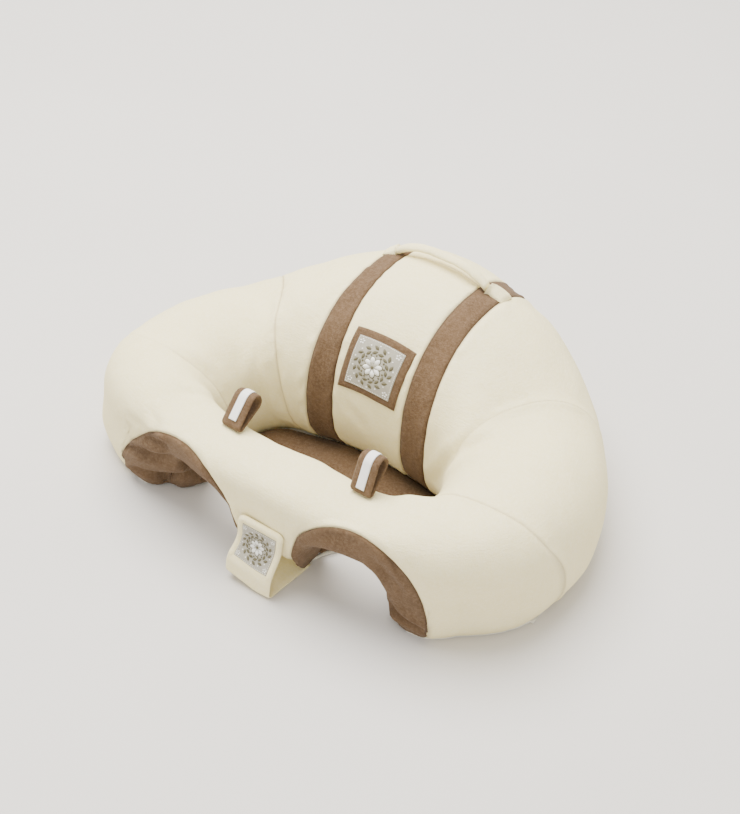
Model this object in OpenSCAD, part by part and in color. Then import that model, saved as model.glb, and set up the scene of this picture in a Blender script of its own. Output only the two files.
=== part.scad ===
// Baby floor seat: a stuffed fleece ring with a high back, a front bar on a crotch post,
// two leg openings and a padded seat well.
// Millimetres. +Z is up, +X is to the right of someone facing the seat, the front looks to -Y.
// The origin is on the floor, in the underside of the base panel.

/* [Ring] */
// Half of the overall width, across the arms
half_width = 285; // [275:1:295]
// From the ring's centre to the rear of the back
rear_reach = 298; // [288:1:308]
// From the ring's centre to the front of the bar
front_reach = 120; // [116:1:124]
// Height of the arms
arm_height = 150; // [144:1:156]
// Height of the middle of the back
back_height = 216; // [206:1:224]
// Half of the width over which the back rises above the arms
back_spread = 250; // [235:1:265]
// How much lower the middle of the front bar is than the arms
bar_sag = 13; // [10:1:16]

/* [Well] */
// Half of the well's width
well_half_width = 125; // [120:1:130]
// From the ring's centre to the well's front wall
well_front = 47; // [44:1:49]
// From the ring's centre to the well's rear wall
well_rear = 62; // [58:1:68]

/* [Leg openings] */
// Half of the width of the crotch post
post_half_width = 40; // [37:1:43]
// Width of each leg opening at the floor
leg_width = 104; // [98:1:108]
// Height of each leg opening
leg_height = 84; // [80:1:87]
// Width of the facing beside the crotch post
facing_at_post = 9; // [7:1:11]
// Width of the facing over the leg opening
facing_at_top = 46; // [41:1:48]
// Width of the facing beside the arm
facing_at_arm = 51; // [46:1:58]

/* [Slump of the left side] */
// How far the left lobe's foot has slid outwards
foot_slump = 34; // [20:1:38]
// How far the left arm and the well's left wall have slid outwards
arm_slump = 15; // [8:1:18]

/* [Fabric] */
// Thickness of the fleece
fleece = 2; // [1.6:0.1:2.4]
// Thickness of the quilted base panel
base_thickness = 3; // [2.5:0.1:4]
// Depth to which a seam draws the stuffing in
seam_draw = 3; // [1:0.5:5]
// Thickness of the seat wadding at its edge
wadding_edge = 6; // [5:1:8]
// Extra thickness of the seat wadding at its middle
wadding_crown = 8; // [5:1:12]

/* [Stripes] */
// Distance between the middles of the two stripes
stripe_spacing = 125; // [119:1:131]
// Width of a stripe down at the seat
stripe_at_seat = 34; // [30:1:36]
// Width of a stripe up at the rim
stripe_at_rim = 27; // [24:1:30]

/* [Carry handle] */
// Free length of the handle between its sewn ends
handle_span = 116; // [110:1:120]
// Height of the handle's middle above the line through its ends
handle_rise = 15.5; // [14:0.5:18]
// Width of the handle's tube
handle_width = 13; // [11:0.5:14]
// Thickness of the handle's tube
handle_thickness = 9; // [8:0.5:10]
// Length of each sewn end
handle_end_length = 19; // [16:1:22]
// Width of each sewn end
handle_end_width = 22; // [20:1:24]

/* [Toy loops] */
// Distance between the middles of the two toy loops
loop_spacing = 165; // [160:1:170]
// How far the pair of toy loops sits to the right of the middle
loop_shift = 7.5; // [0:0.5:9]
// Width of each toy loop
loop_width = 25; // [22:1:28]
// Outer radius of a toy loop's round end
loop_radius = 10.5; // [9.5:0.5:11.5]
// Outer radius of a toy loop's narrower foot, where it is sewn down
loop_foot = 5; // [4.5:0.1:5.5]
// From the centre of a toy loop's foot to the centre of its round end
loop_length = 29; // [27:0.5:31]
// Width of the ribbon round each toy loop
ribbon_width = 10; // [8:0.5:12]
// Thickness of the ribbon
ribbon = 1; // [0.8:0.1:1.2]
// How far the right toy loop leans back from upright
right_loop_lean = 39; // [34:1:44]
// How far the left toy loop leans back from upright
left_loop_lean = 58; // [53:1:61]

/* [Patches and front loop] */
// Side of the brown square on the back
patch_size = 75; // [70:1:80]
// Width of the brown border round the printed patch
patch_border_width = 8.5; // [7:0.5:10]
// Height of the lower edge of the brown square
patch_height = 124; // [118:1:128]
// Width of the front loop
tab_width = 58; // [54:1:60]
// Height at which the front loop is sewn to the crotch post
tab_height = 86; // [82:1:90]
// How far the front loop's fold stands out from the crotch post
tab_reach = 20; // [17:1:25]
// Width of the printed patch on the front loop
tab_patch_width = 44; // [40:1:48]
// Length of the printed patch on the front loop
tab_patch_length = 46; // [40:1:50]
// From the front loop's top seam down to its printed patch
tab_patch_margin = 9; // [8:1:12]

/* [Clearances] */
// Gap between two layers that lie on each other
layer_gap = 0.3; // [0.25:0.05:0.4]
// Gap between the edges of two panels at a seam
seam_gap = 0.4; // [0.3:0.05:0.5]
// Gap between the cover and its stuffing
filling_gap = 2.2; // [1.8:0.1:2.4]

/* [Hidden] */

cream = "#e8e4d2";
brown = "#9c7a5b";
print_grey = "#c6c1b2";
filling_white = "#f7f6f2";

// The ring's centre, seen from above
ring_y = -70;
// Squareness of the front outline, the well's rear and front corners, the facings' outline
// and the leg openings
front_power = 2.5;
well_power = 3.2;
well_front_power = 6;
facing_power = 2.35;
opening_power = 2.9;
// Rounding that keeps the stripes straight from the well to the rear
straight_power = 6;
// The section's squareness on the ring and on the bar
section_power = 2.25;
bar_squareness = 0.5;
// How much of the section's height lies below its widest place
belly_share = 0.44;
bar_belly_share = 0.5;
// How far the section's curve would run on below the floor, round the ring and at the post
floor_bite = 20;
post_bite = 0.5;
// How far the opening's edge rolls towards the section's middle
roll_share = 0.85;
// Layers below the ring: its lowest face and the filling's lowest face
floor_z = base_thickness + layer_gap;
filling_depth = fleece + filling_gap;
// Where the facing's seam and the leg opening lie, along x
opening_x0 = post_half_width;
opening_x1 = post_half_width + leg_width;
facing_x0 = opening_x0 - facing_at_post;
facing_x1 = opening_x1 + facing_at_arm;
facing_top = leg_height + facing_at_top;
lining_top = leg_height + 10;
// The rim seam and the toy loops lie at these angles round the section
rim_angle = 78;
loop_angle = 106;
// The seam between a wing and an arm, at the rear and down in the well
wing_seam_rear = 37;
wing_seam_well = 67;
wing_seam_power = 1.7;
// Half of the width of the groove that a seam draws in, in degrees round the ring
groove_width = 5;
// Steps round the section and small steps for the normals
section_steps = 18;
front_steps = 12;
// Share by which a panel's columns stay evenly spread where a seam cuts them short
even_share = 0.08;
tilt_step = 0.1;
turn_step = 0.5;
// Half of the angle that a seam gap takes, by where the seam runs
arm_seam_turn = 0.12 * seam_gap / 0.4;
stripe_seam_turn = 0.045 * seam_gap / 0.4;
cross_seam_turn = 0.42 * seam_gap / 0.4;
cross_seam_share = cross_seam_turn / 270;

function soft_min(a, b) = a / pow(1 + pow(a / b, straight_power), 1 / straight_power);
function signed_pow(a, p) = sign(a) * pow(abs(a), p);
function clip(t) = max(0, min(1, t));
function ramp(t) = let (k = clip(t)) k * k * (3 - 2 * k);
function lerp(a, b, t) = a + (b - a) * t;
function unit(p) = p / max(norm(p), 1e-9);
function rounded(t, power) = pow(max(0, 1 - pow(min(1, abs(t)), power)), 1 / power);

// The ring's plan: a is the angle round it, 0 at the right arm and 90 at the back
function in_front(a) = sin(a) < -1e-9;
function outer_x(a) = in_front(a) ? half_width * signed_pow(cos(a), 2 / front_power)
    : half_width * cos(a);
function outer_y(a) = in_front(a)
    ? ring_y - front_reach * pow(abs(sin(a)), 2 / front_power)
    : ring_y + rear_reach * sin(a);
function inner_x(a) = let (x = outer_x(a))
    sign(x) * well_half_width * soft_min(abs(x), well_half_width)
    / soft_min(half_width, well_half_width);
function inner_y(a) = let (t = inner_x(a) / well_half_width) in_front(a)
    ? ring_y - well_front * rounded(t, well_front_power)
    : ring_y + well_rear * rounded(t, well_power);
// The angle at which the front outline has a given x
function front_angle(x) = 270 + sign(x) * (90 - acos(pow(abs(x) / half_width, front_power / 2)));
function rear_angle(x) = acos(x / half_width);

// The openings' outlines on the front face
function arch_level(x, z, x0, x1, top, power) = let (mid = (x0 + x1) / 2, half = (x1 - x0) / 2)
    pow(pow(abs(abs(x) - mid) / half, power) + pow(abs(z) / top, power), 1 / power);
function arch_height(x, x0, x1, top, power) = let (mid = (x0 + x1) / 2, half = (x1 - x0) / 2)
    top * rounded((abs(x) - mid) / half, power);
function opening_height(a) = in_front(a)
    ? arch_height(outer_x(a), opening_x0, opening_x1, leg_height, opening_power) : 0;

// The section at angle a: its top, bottom, widest height and squareness
function top_z(a) = let (x = abs(outer_x(a)))
    in_front(a) ? arm_height - bar_sag * (1 - ramp((x / half_width - 0.3) / 0.6))
    : arm_height + (back_height - arm_height) * (1 - ramp(x / back_spread));
function bar_part(a) = in_front(a)
    ? 1 - ramp((abs(outer_x(a)) - opening_x1) / (half_width - opening_x1)) : 0;
function bite(a) = in_front(a)
    ? lerp(post_bite, floor_bite, ramp((abs(outer_x(a)) - opening_x0) / leg_width)) : floor_bite;
function bottom_z(a) = let (low = opening_height(a)) low - bite(a) * (1 - ramp(low / 30));
function belly_z(a) = lerp(lerp(-floor_bite, top_z(a), belly_share),
    lerp(leg_height, top_z(a), bar_belly_share), bar_part(a));
function power_at(a) = section_power + bar_squareness * bar_part(a);

// How far a point of the front face has gone from the facing's seam to the opening's edge
function roll_at(x, z) =
    let (inside = 1 - arch_level(x, z, facing_x0, facing_x1, facing_top, facing_power),
         outside = max(
             arch_level(x, z, opening_x0, opening_x1, leg_height, opening_power) - 1, 1e-4))
    inside > 0 ? inside / (inside + outside) : 0;

// Seams round the ring, as angles at the place v of the section
function seam_run(v) = clip((v + 30) / 240);
function wing_seam(v) = lerp(wing_seam_rear, wing_seam_well, pow(seam_run(v), wing_seam_power));
function stripe_width_at(v) = lerp(stripe_at_rim, stripe_at_seat, ramp((v - rim_angle) / 100));
function stripe_edge(v, side) = rear_angle(stripe_spacing / 2 + side * stripe_width_at(v) / 2);
function groove(turn) = exp(-pow(turn / groove_width, 2));
function fold_turn(a) = min(abs(a), abs(a - 180), abs(a - 360));
function wing_turn(a, v) = min(abs(a - wing_seam(v)), abs(180 - a - wing_seam(v)));
function draw_at(a, v) = seam_draw * max(
    in_front(a) ? 0 : groove(wing_turn(a, v)), groove(fold_turn(a)));

// How the left side has slid outwards: most of all the foot of its front lobe
function slump(p) = let (x = -p[0], z = p[2],
    foot = foot_slump * (1 - ramp((z - 20) / 95)) * ramp((x - 90) / 60),
    belly = arm_slump * ramp((x - 160) / 80),
    front = pow(pow(foot, 4) + pow(belly, 4), 1 / 4),
    rear = arm_slump * ramp((x - 80) / 45),
    out = lerp(front, rear, ramp((p[1] + 150) / 60)))
    x > 80 ? [p[0] - out, p[1] + out / 8, z] : p;

// A point of the ring's surface: v is 0 outside, 90 on top, 180 in the well and 270 below
function plain_point(a, v) = slump(even_point(a, v));
function even_point(a, v) =
    let (n = power_at(a), shrink = 1 - draw_at(a, v) / (arm_height / 2),
         c = signed_pow(cos(v), 2 / n) * shrink, q = signed_pow(sin(v), 2 / n) * shrink,
         low = bottom_z(a), belly = belly_z(a),
         z = max(floor_z, belly + q * (q > 0 ? top_z(a) - belly : belly - low)),
         r = 0.5 + 0.5 * c,
         x = lerp(inner_x(a), outer_x(a), r), y = lerp(inner_y(a), outer_y(a), r),
         mid_y = (inner_y(a) + outer_y(a)) / 2,
         t = in_front(a) && r > 0.5 ? roll_at(x, z) : 0,
         roll = roll_share * (1 - sqrt(max(0, 1 - t * t))))
    [x, y + (mid_y - y) * roll, z];
function plain_normal(a, v) = unit(cross(
    plain_point(a + tilt_step, v) - plain_point(a - tilt_step, v),
    plain_point(a, v + turn_step) - plain_point(a, v - turn_step)));
function skin_point(a, v, out) = plain_point(a, v) + plain_normal(a, v) * out;

// The angle v at which the section at a has the height z, outside or in the well
function angle_at_z(a, z) =
    let (belly = belly_z(a), low = bottom_z(a),
         q = z > belly ? (z - belly) / (top_z(a) - belly) : (z - belly) / (belly - low))
    asin(signed_pow(max(-1, min(1, q)), power_at(a) / 2));
function outer_edge(a) = angle_at_z(a, floor_z);
function well_edge(a) = 180 - angle_at_z(a, floor_z);
// Where the facing begins on the front face, and where it ends in the well
function face_seam(a) = angle_at_z(a, max(floor_z,
    arch_height(outer_x(a), facing_x0, facing_x1, facing_top, facing_power)));
function lining_seam(a) = 180 - angle_at_z(a, max(floor_z,
    arch_height(outer_x(a), facing_x0, facing_x1, lining_top, facing_power)));

// Places round the ring at which its sections are taken
post_x = [for (k = [0 : 1]) facing_x0 * k / 2];
seam_x = [facing_x0, (facing_x0 + opening_x0) / 2];
arch_x = [for (k = [0 : 10])
    (opening_x0 + opening_x1) / 2 - leg_width / 2 * signed_pow(cos(18 * k), 0.8)];
corner_x = [for (k = [1 : 5]) opening_x1 + facing_at_arm * pow(sin(18 * k), 0.7)];
facing_angles = [for (x = concat(seam_x, arch_x, corner_x)) front_angle(x)];
arm_front_angles = [for (k = [1 : 4]) lerp(front_angle(facing_x1), 360, k / 4)];
right_front = concat([for (x = post_x) front_angle(x)], facing_angles, arm_front_angles);
function mirrored(angles) = [for (k = [len(angles) - 1 : -1 : 0]) 540 - angles[k]];
front_angles = concat(
    [for (a = mirrored(right_front)) if (a < 270) a], right_front);

function spread(a0, a1, steps) = [for (k = [0 : steps]) lerp(a0, a1, k / steps)];

// A closed sheet between two grids of points, grid[i][j] with j along the section; the
// diagonals of its first faces can be mirrored, up to the share turned, so that left and right
// are alike
module sheet(outside, inside, turned = 0) {
    nu = len(outside);
    nv = len(outside[0]);
    all = concat([for (row = outside) for (p = row) p], [for (row = inside) for (p = row) p]);
    back = nu * nv;
    function at(i, j) = i * nv + j;
    function cell(i, j) = i < turned * (nu - 1)
        ? [[at(i, j), at(i, j + 1), at(i + 1, j)], [at(i, j + 1), at(i + 1, j + 1), at(i + 1, j)]]
        : [[at(i, j), at(i, j + 1), at(i + 1, j + 1)], [at(i, j), at(i + 1, j + 1), at(i + 1, j)]];
    polyhedron(all, concat(
        [for (i = [0 : nu - 2]) for (j = [0 : nv - 2]) for (f = cell(i, j))
            each [f, [back + f[0], back + f[2], back + f[1]]]],
        [for (i = [0 : nu - 2])
            each [[at(i, 0), at(i + 1, 0), back + at(i + 1, 0)],
                  [at(i, 0), back + at(i + 1, 0), back + at(i, 0)],
                  [at(i, nv - 1), back + at(i + 1, nv - 1), at(i + 1, nv - 1)],
                  [at(i, nv - 1), back + at(i, nv - 1), back + at(i + 1, nv - 1)]]],
        [for (j = [0 : nv - 2])
            each [[at(0, j), back + at(0, j + 1), at(0, j + 1)],
                  [at(0, j), back + at(0, j), back + at(0, j + 1)],
                  [at(nu - 1, j), at(nu - 1, j + 1), back + at(nu - 1, j + 1)],
                  [at(nu - 1, j), back + at(nu - 1, j + 1), back + at(nu - 1, j)]]]));
}

// A closed tube through rings of points, capped at each end; the diagonals of its faces are
// mirrored in the first or the last half of the rings, so that left and right are alike
module tube(rings, mirror_first = false, mirror_last = false) {
    nu = len(rings);
    nv = len(rings[0]);
    function middle(ring) = [for (k = [0 : 2]) [for (p = ring) p[k]] * [for (p = ring) 1] / nv];
    all = concat([for (ring = rings) for (p = ring) p], [middle(rings[0]), middle(rings[nu - 1])]);
    function at(i, j) = i * nv + j % nv;
    half = (nu - 1) / 2;
    polyhedron(all, concat(
        [for (i = [0 : nu - 2]) for (j = [0 : nv - 1])
            each (i < half ? mirror_first : mirror_last)
                ? [[at(i, j), at(i, j + 1), at(i + 1, j)],
                   [at(i, j + 1), at(i + 1, j + 1), at(i + 1, j)]]
                : [[at(i, j), at(i, j + 1), at(i + 1, j + 1)],
                   [at(i, j), at(i + 1, j + 1), at(i + 1, j)]]],
        [for (j = [0 : nv - 1])
            each [[nu * nv, at(0, j + 1), at(0, j)],
                  [nu * nv + 1, at(nu - 1, j), at(nu - 1, j + 1)]]]));
}

// A cover panel between two grids: each grid point is [angle round the ring, angle v]
module cover_panel(grid, turned = 0) {
    sheet([for (row = grid) [for (g = row) skin_point(g[0], g[1], 0)]],
        [for (row = grid) [for (g = row) skin_point(g[0], g[1], -fleece)]], turned);
}

// A grid between two seams that run across the back, from v_start to v_end as shares of
// the way from the rear edge to the edge in the well
function back_v(a, t) = lerp(outer_edge(a), well_edge(a), t);
function back_grid(low, high, across, along, t0 = 0, t1 = 1) =
    [for (i = [0 : across]) [for (j = [0 : along])
        let (t = lerp(t0, t1, j / along), near = back_v(60, t),
             v = back_v(lerp(low[round(near + 60)], high[round(near + 60)], i / across), t))
        [lerp(seam_at(low, v), seam_at(high, v), i / across), v]]];

// A seam as its angles round the ring for v from -60 to 240, in steps of a degree
function seam_list(kind, shift) = [for (v = [-60 : 240])
    (kind == "wing" ? wing_seam(v) : kind == "outer stripe" ? stripe_edge(v, 1)
     : kind == "inner stripe" ? stripe_edge(v, -1) : kind == "far stripe" ? 180 - stripe_edge(v, -1)
     : kind == "far wing" ? 180 - wing_seam(v)
     : kind == "far outer stripe" ? 180 - stripe_edge(v, 1) : kind == "far arm" ? 180
     : 0) + shift];
function seam_at(seam, v) = let (k = min(len(seam) - 2, max(0, floor(v + 60))))
    lerp(seam[k], seam[k + 1], v + 60 - k);

module right_wing_panel() color(cream)
    cover_panel(back_grid(seam_list("wing", arm_seam_turn),
        seam_list("outer stripe", -stripe_seam_turn), 6, section_steps));
module left_wing_panel() color(cream)
    cover_panel(back_grid(seam_list("far outer stripe", stripe_seam_turn),
        seam_list("far wing", -arm_seam_turn), 6, section_steps), turned = 1);

module stripe() {
    cover_panel(back_grid(seam_list("outer stripe", stripe_seam_turn),
        seam_list("inner stripe", -stripe_seam_turn), 2, section_steps));
}

module right_arm_panel() color(cream)
    cover_panel(back_grid(seam_list("arm", arm_seam_turn),
        seam_list("wing", -arm_seam_turn), 5, section_steps));
module left_arm_panel() color(cream)
    cover_panel(back_grid(seam_list("far wing", arm_seam_turn),
        seam_list("far arm", -arm_seam_turn), 5, section_steps), turned = 1);

// The middle of the back, on either side of the rim seam
function rim_share() = (rim_angle - outer_edge(90)) / (well_edge(90) - outer_edge(90));
module middle_panel(t0, t1) {
    cover_panel(back_grid(seam_list("inner stripe", stripe_seam_turn),
        seam_list("far stripe", -stripe_seam_turn), 4, section_steps / 2, t0, t1));
}

module back_centre_panel() color(cream) middle_panel(rim_share() + cross_seam_share, 1);
module rear_centre_panel() color(cream) middle_panel(0, rim_share() - cross_seam_share);
module right_stripe() color(brown) stripe();
module left_stripe() color(brown) mirror([1, 0, 0]) stripe();

// The v of column j where the panel's own ends, v0 and v1, cut short the full reach
function cut_short(v0, v1, low, high, share) =
    lerp(max(v0, min(v1, lerp(low, high, share))), lerp(v0, v1, share), even_share);

module front_panel() {
    last = len(front_angles) - 1;
    low = outer_edge(340);
    high = well_edge(340);
    color(cream) cover_panel([for (i = [0 : last])
        let (a = i == 0 ? 180 + arm_seam_turn : i == last ? 360 - arm_seam_turn : front_angles[i],
             v0 = face_seam(a) + cross_seam_turn, v1 = lining_seam(a) - cross_seam_turn)
        [for (j = [0 : front_steps]) [a, cut_short(v0, v1, low, high, j / front_steps)]]], turned = 0.5);
}

module leg_facing(angles, turned) {
    last = len(angles) - 1;
    low = min([for (a = angles) lining_seam(a)]);
    high = 360 + max([for (a = angles) face_seam(a)]);
    cover_panel([for (i = [0 : last])
        let (a = angles[i] + (i == 0 ? stripe_seam_turn : i == last ? -stripe_seam_turn : 0),
             v0 = lining_seam(a) + cross_seam_turn, v1 = 360 + face_seam(a) - cross_seam_turn)
        [for (j = [0 : front_steps]) [a, cut_short(v0, v1, low, high, j / front_steps)]]], turned);
}

module right_leg_facing() color(brown) leg_facing(facing_angles, 0);
module left_leg_facing() color(brown) leg_facing(mirrored(facing_angles), 1);

// Stuffing: whole sections inside the cover, resting on what lies below at the height low
function stuffing_ring(a, low, deeper = 0) = [for (j = [0 : section_steps - 1])
    let (turn = 360 * j / section_steps, v = turn > 240 ? turn - 360 : turn,
         cover = plain_point(a, v), p = skin_point(a, v, -filling_depth - deeper),
         beside_wall = in_front(a) && cover[2] < leg_height && abs(abs(outer_x(a)) - opening_x1) < 3,
         x = beside_wall ? max(abs(p[0]), abs(cover[0]) + filling_depth) : abs(p[0]))
    [sign(p[0]) * x, p[1], cover[2] > floor_z ? max(p[2], low) : low]];
facing_low = floor_z + fleece + layer_gap;
// Extra gap between the bar's stuffing and the bent linings
lining_ease = 3;

module back_filling() {
    start = wing_seam_rear + arm_seam_turn;
    color(filling_white) tube([for (a = spread(start, 180 - start, 22)) stuffing_ring(a, floor_z)],
        mirror_last = true);
}

arm_angles = spread(arm_seam_turn, wing_seam_rear - arm_seam_turn, 5);
module right_arm_filling()
    color(filling_white) tube([for (a = arm_angles) stuffing_ring(a, floor_z)]);
module left_arm_filling() color(filling_white)
    tube([for (k = [len(arm_angles) - 1 : -1 : 0]) stuffing_ring(180 - arm_angles[k], floor_z)],
        mirror_first = true, mirror_last = true);

module bar_filling() {
    last = len(front_angles) - 1;
    color(filling_white) tube([for (i = [0 : last])
        stuffing_ring(front_angles[i] + (i == 0 ? arm_seam_turn : i == last ? -arm_seam_turn : 0),
            facing_low, lining_ease)], mirror_first = true);
}

// The cut-back front edge of the base panel and of the seat, round each leg opening
cut_mid_x = opening_x0 + leg_width / 2;
cut_half_x = leg_width / 2 + 19;
cut_mid_y = ring_y - front_reach + 15;
cut_depth = 85;
// Front edge of the base panel under the crotch post
base_front_y = ring_y - front_reach + 43;
function cut_edge(x) = cut_mid_y + cut_depth * rounded((abs(x) - cut_mid_x) / cut_half_x, 2);
// The place on the floor, on the slumped left side, of a place on the right
function floor_left(p) = let (q = slump([-p[0], p[1], floor_z])) [q[0], q[1]];
function floor_point(a) = let (p = plain_point(a, outer_edge(a))) [p[0], p[1]];

module base_panel() {
    cut_start = acos((base_front_y - cut_mid_y) / cut_depth);
    leg_cut = [for (k = [0 : 8]) let (t = lerp(-cut_start, 72, k / 8))
        [cut_mid_x + cut_half_x * sin(t), cut_mid_y + cut_depth * cos(t)]];
    arm_front = [for (x = [lerp(opening_x1, facing_x1, 0.75), facing_x1]) floor_point(front_angle(x))];
    arm_side = [for (a = arm_front_angles) floor_point(a)];
    rear = [for (a = spread(6, 90, 14)) floor_point(a)];
    right = concat(leg_cut, arm_front, arm_side, rear);
    left_ring = [for (k = [len(right) - 2 : -1 : len(leg_cut)]) floor_left(right[k])];
    left_cut = [for (k = [len(leg_cut) - 1 : -1 : 0]) floor_left(leg_cut[k])];
    color(cream) linear_extrude(base_thickness) polygon(concat(right, left_ring, left_cut));
}

// The seat: a fan of points from its middle to its edge, thicker in the middle
seat_middle = [0, ring_y + 12];
seat_edge_height = floor_z + wadding_edge;
function well_wall(a) = let (p = plain_point(a, 180 - angle_at_z(a, seat_edge_height)))
    [p[0], p[1]];
function inset(p, gap) = p - unit(p - seat_middle) * gap;
seat_side_x = well_wall(0)[0] - 9;
post_back_y = ring_y - well_front + 2;
seat_edge = concat(
    [for (a = spread(0, 180, 20)) inset(well_wall(a), 3)],
    [for (k = [1 : 15]) let (x = -seat_side_x * cos(180 * k / 16),
        p = [abs(x), max(post_back_y, cut_edge(x) + 4)]) x > 0 ? p : floor_left(p)]);
seat_rings = [1, 0.94, 0.75, 0.45];
function seat_top(s) = floor_z + wadding_edge * (s == 1 ? 0.5 : 1) + wadding_crown * (1 - s * s);

module seat_layer(low, high, low_follows) {
    n = len(seat_edge);
    rings = len(seat_rings);
    function layer(height, follows) = [for (s = seat_rings) for (p = seat_edge)
        let (q = seat_middle + (p - seat_middle) * s)
        [q[0], q[1], height + (follows ? seat_top(s) : 0)]];
    function middle(height, follows) = [seat_middle[0], seat_middle[1],
        height + (follows ? seat_top(0) : 0)];
    all = concat(layer(high, true), layer(low, low_follows),
        [middle(high, true), middle(low, low_follows)]);
    back = n * rings;
    function at(r, k) = r * n + k % n;
    polyhedron(all, concat(
        [for (r = [0 : rings - 2]) for (k = [0 : n - 1])
            each [[at(r, k), at(r + 1, k + 1), at(r, k + 1)],
                  [at(r, k), at(r + 1, k), at(r + 1, k + 1)],
                  [back + at(r, k), back + at(r, k + 1), back + at(r + 1, k + 1)],
                  [back + at(r, k), back + at(r + 1, k + 1), back + at(r + 1, k)]]],
        [for (k = [0 : n - 1])
            each [[at(rings - 1, k), 2 * back, at(rings - 1, k + 1)],
                  [back + at(rings - 1, k), back + at(rings - 1, k + 1), 2 * back + 1],
                  [at(0, k), at(0, k + 1), back + at(0, k + 1)],
                  [at(0, k), back + at(0, k + 1), back + at(0, k)]]]));
}

module seat_wadding() color(filling_white) seat_layer(floor_z, 0, false);
module seat_panel() color(brown) seat_layer(layer_gap, layer_gap + fleece, true);

// The carry handle: a soft tube in an arch, which swings about the line through its ends
handle_end_x = handle_span / 2;
handle_seat = plain_point(rear_angle(handle_end_x), rim_angle);
stitch_gap = 0.05;
handle_clear = handle_width * 0.4 + 2 * layer_gap;
handle_axis = [0, handle_seat[1], handle_seat[2] + handle_clear];

module carry_handle() {
    color(cream) tube([for (k = [0 : 14])
        let (s = lerp(1, -1, k / 14), full = 1 - pow(abs(s), 4),
             rise = handle_rise * (1 - s * s), slope = 2 * handle_rise * s / handle_end_x,
             w = handle_width * lerp(0.75, 1, full), h = handle_thickness * lerp(0.95, 1, full))
        [for (j = [0 : 11]) handle_axis + [s * handle_end_x, w / 2 * cos(30 * j),
            rise + h / 2 * sin(30 * j) * sqrt(1 + slope * slope)]]]);
}

module handle_end() {
    half_turn = 180 / PI * handle_end_width / (outer_y(90) - inner_y(90));
    grid = [for (i = [0 : 3]) [for (j = [0 : 6])
        [rear_angle(handle_end_x + stitch_gap + handle_end_length * (1 - i / 3)),
         rim_angle + half_turn * (j / 3 - 1), i / 3, j / 3 - 1]]];
    sheet([for (row = grid) [for (g = row) skin_point(g[0], g[1],
            layer_gap + 1.5 + (2 * handle_clear - 3) * g[2] * sqrt(1 - 0.9 * g[3] * g[3]))]],
        [for (row = grid) [for (g = row) skin_point(g[0], g[1], layer_gap)]]);
}

module right_handle_end() color(cream) handle_end();
module left_handle_end() color(cream) mirror([1, 0, 0]) handle_end();

// A drop: a round end of radius big, run down to a round foot of radius small at the origin
function drop(big, small, length) = let (side = asin((big - small) / length))
    concat([for (k = [0 : 24]) let (t = lerp(-side, 180 + side, k / 24))
            [big * cos(t), length + big * sin(t)]],
        [for (k = [0 : 6]) let (t = lerp(180 + side, 360 - side, k / 6))
            [small * cos(t), small * sin(t)]]);
loop_cloth = 1.3 * fleece;
right_loop_x = loop_shift + loop_spacing / 2;
left_loop_x = loop_shift - loop_spacing / 2;
// Each foot's lift off the bar, whose flat facets lie a little deeper under the left loop
right_lift = loop_foot + 2.5 * layer_gap;
left_lift = loop_foot + 0.4 * layer_gap;
function loop_axis(x) = skin_point(front_angle(x), loop_angle, x > 0 ? right_lift : left_lift);

module across_loop(x, width) {
    axis = loop_axis(x);
    translate([x, axis[1], axis[2]]) rotate([x > 0 ? -right_loop_lean : -left_loop_lean, 0, 0])
        rotate([90, 0, 90]) linear_extrude(width, center = true) children();
}

module toy_loop(x) {
    across_loop(x, loop_width) difference() {
        polygon(drop(loop_radius, loop_foot, loop_length));
        polygon(drop(loop_radius - loop_cloth, loop_foot - loop_cloth, loop_length));
    }
}

module toy_ribbon(x) {
    inner = layer_gap;
    across_loop(x, ribbon_width) difference() {
        polygon(drop(loop_radius + inner + ribbon, loop_foot + inner + ribbon, loop_length));
        polygon(drop(loop_radius + inner, loop_foot + inner, loop_length));
        translate([-2 * loop_radius, -2 * loop_radius])
            square([4 * loop_radius, 2 * loop_radius + loop_foot]);
    }
}

module right_toy_loop() color(brown) toy_loop(right_loop_x);
module left_toy_loop() color(brown) toy_loop(left_loop_x);
module right_toy_ribbon() color("white") toy_ribbon(right_loop_x);
module left_toy_ribbon() color("white") toy_ribbon(left_loop_x);

// The patch on the back: a brown square with a printed square on it
patch_low = 180 - angle_at_z(90, patch_height);
function further_up(v, left) = left <= 0 ? v
    : further_up(v - 0.5, left - norm(plain_point(90, v) - plain_point(90, v - 0.5)));
border_cloth = 1.2;
print_cloth = 0.8;

module patch_layer(margin, low, high) {
    half = patch_size / 2 - margin;
    v_low = further_up(patch_low, margin);
    v_high = further_up(patch_low, patch_size - margin);
    grid = [for (i = [0 : 6]) [for (j = [0 : 6])
        [rear_angle(lerp(half, -half, i / 6)), lerp(v_high, v_low, j / 6)]]];
    sheet([for (row = grid) [for (g = row) skin_point(g[0], g[1], high)]],
        [for (row = grid) [for (g = row) skin_point(g[0], g[1], low)]]);
}

module back_patch_border() {
    color(brown) patch_layer(0, 2 * layer_gap, 2 * layer_gap + border_cloth);
}

module back_patch() {
    low = 3 * layer_gap + border_cloth;
    color(print_grey) patch_layer(patch_border_width, low, low + print_cloth);
}

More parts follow.
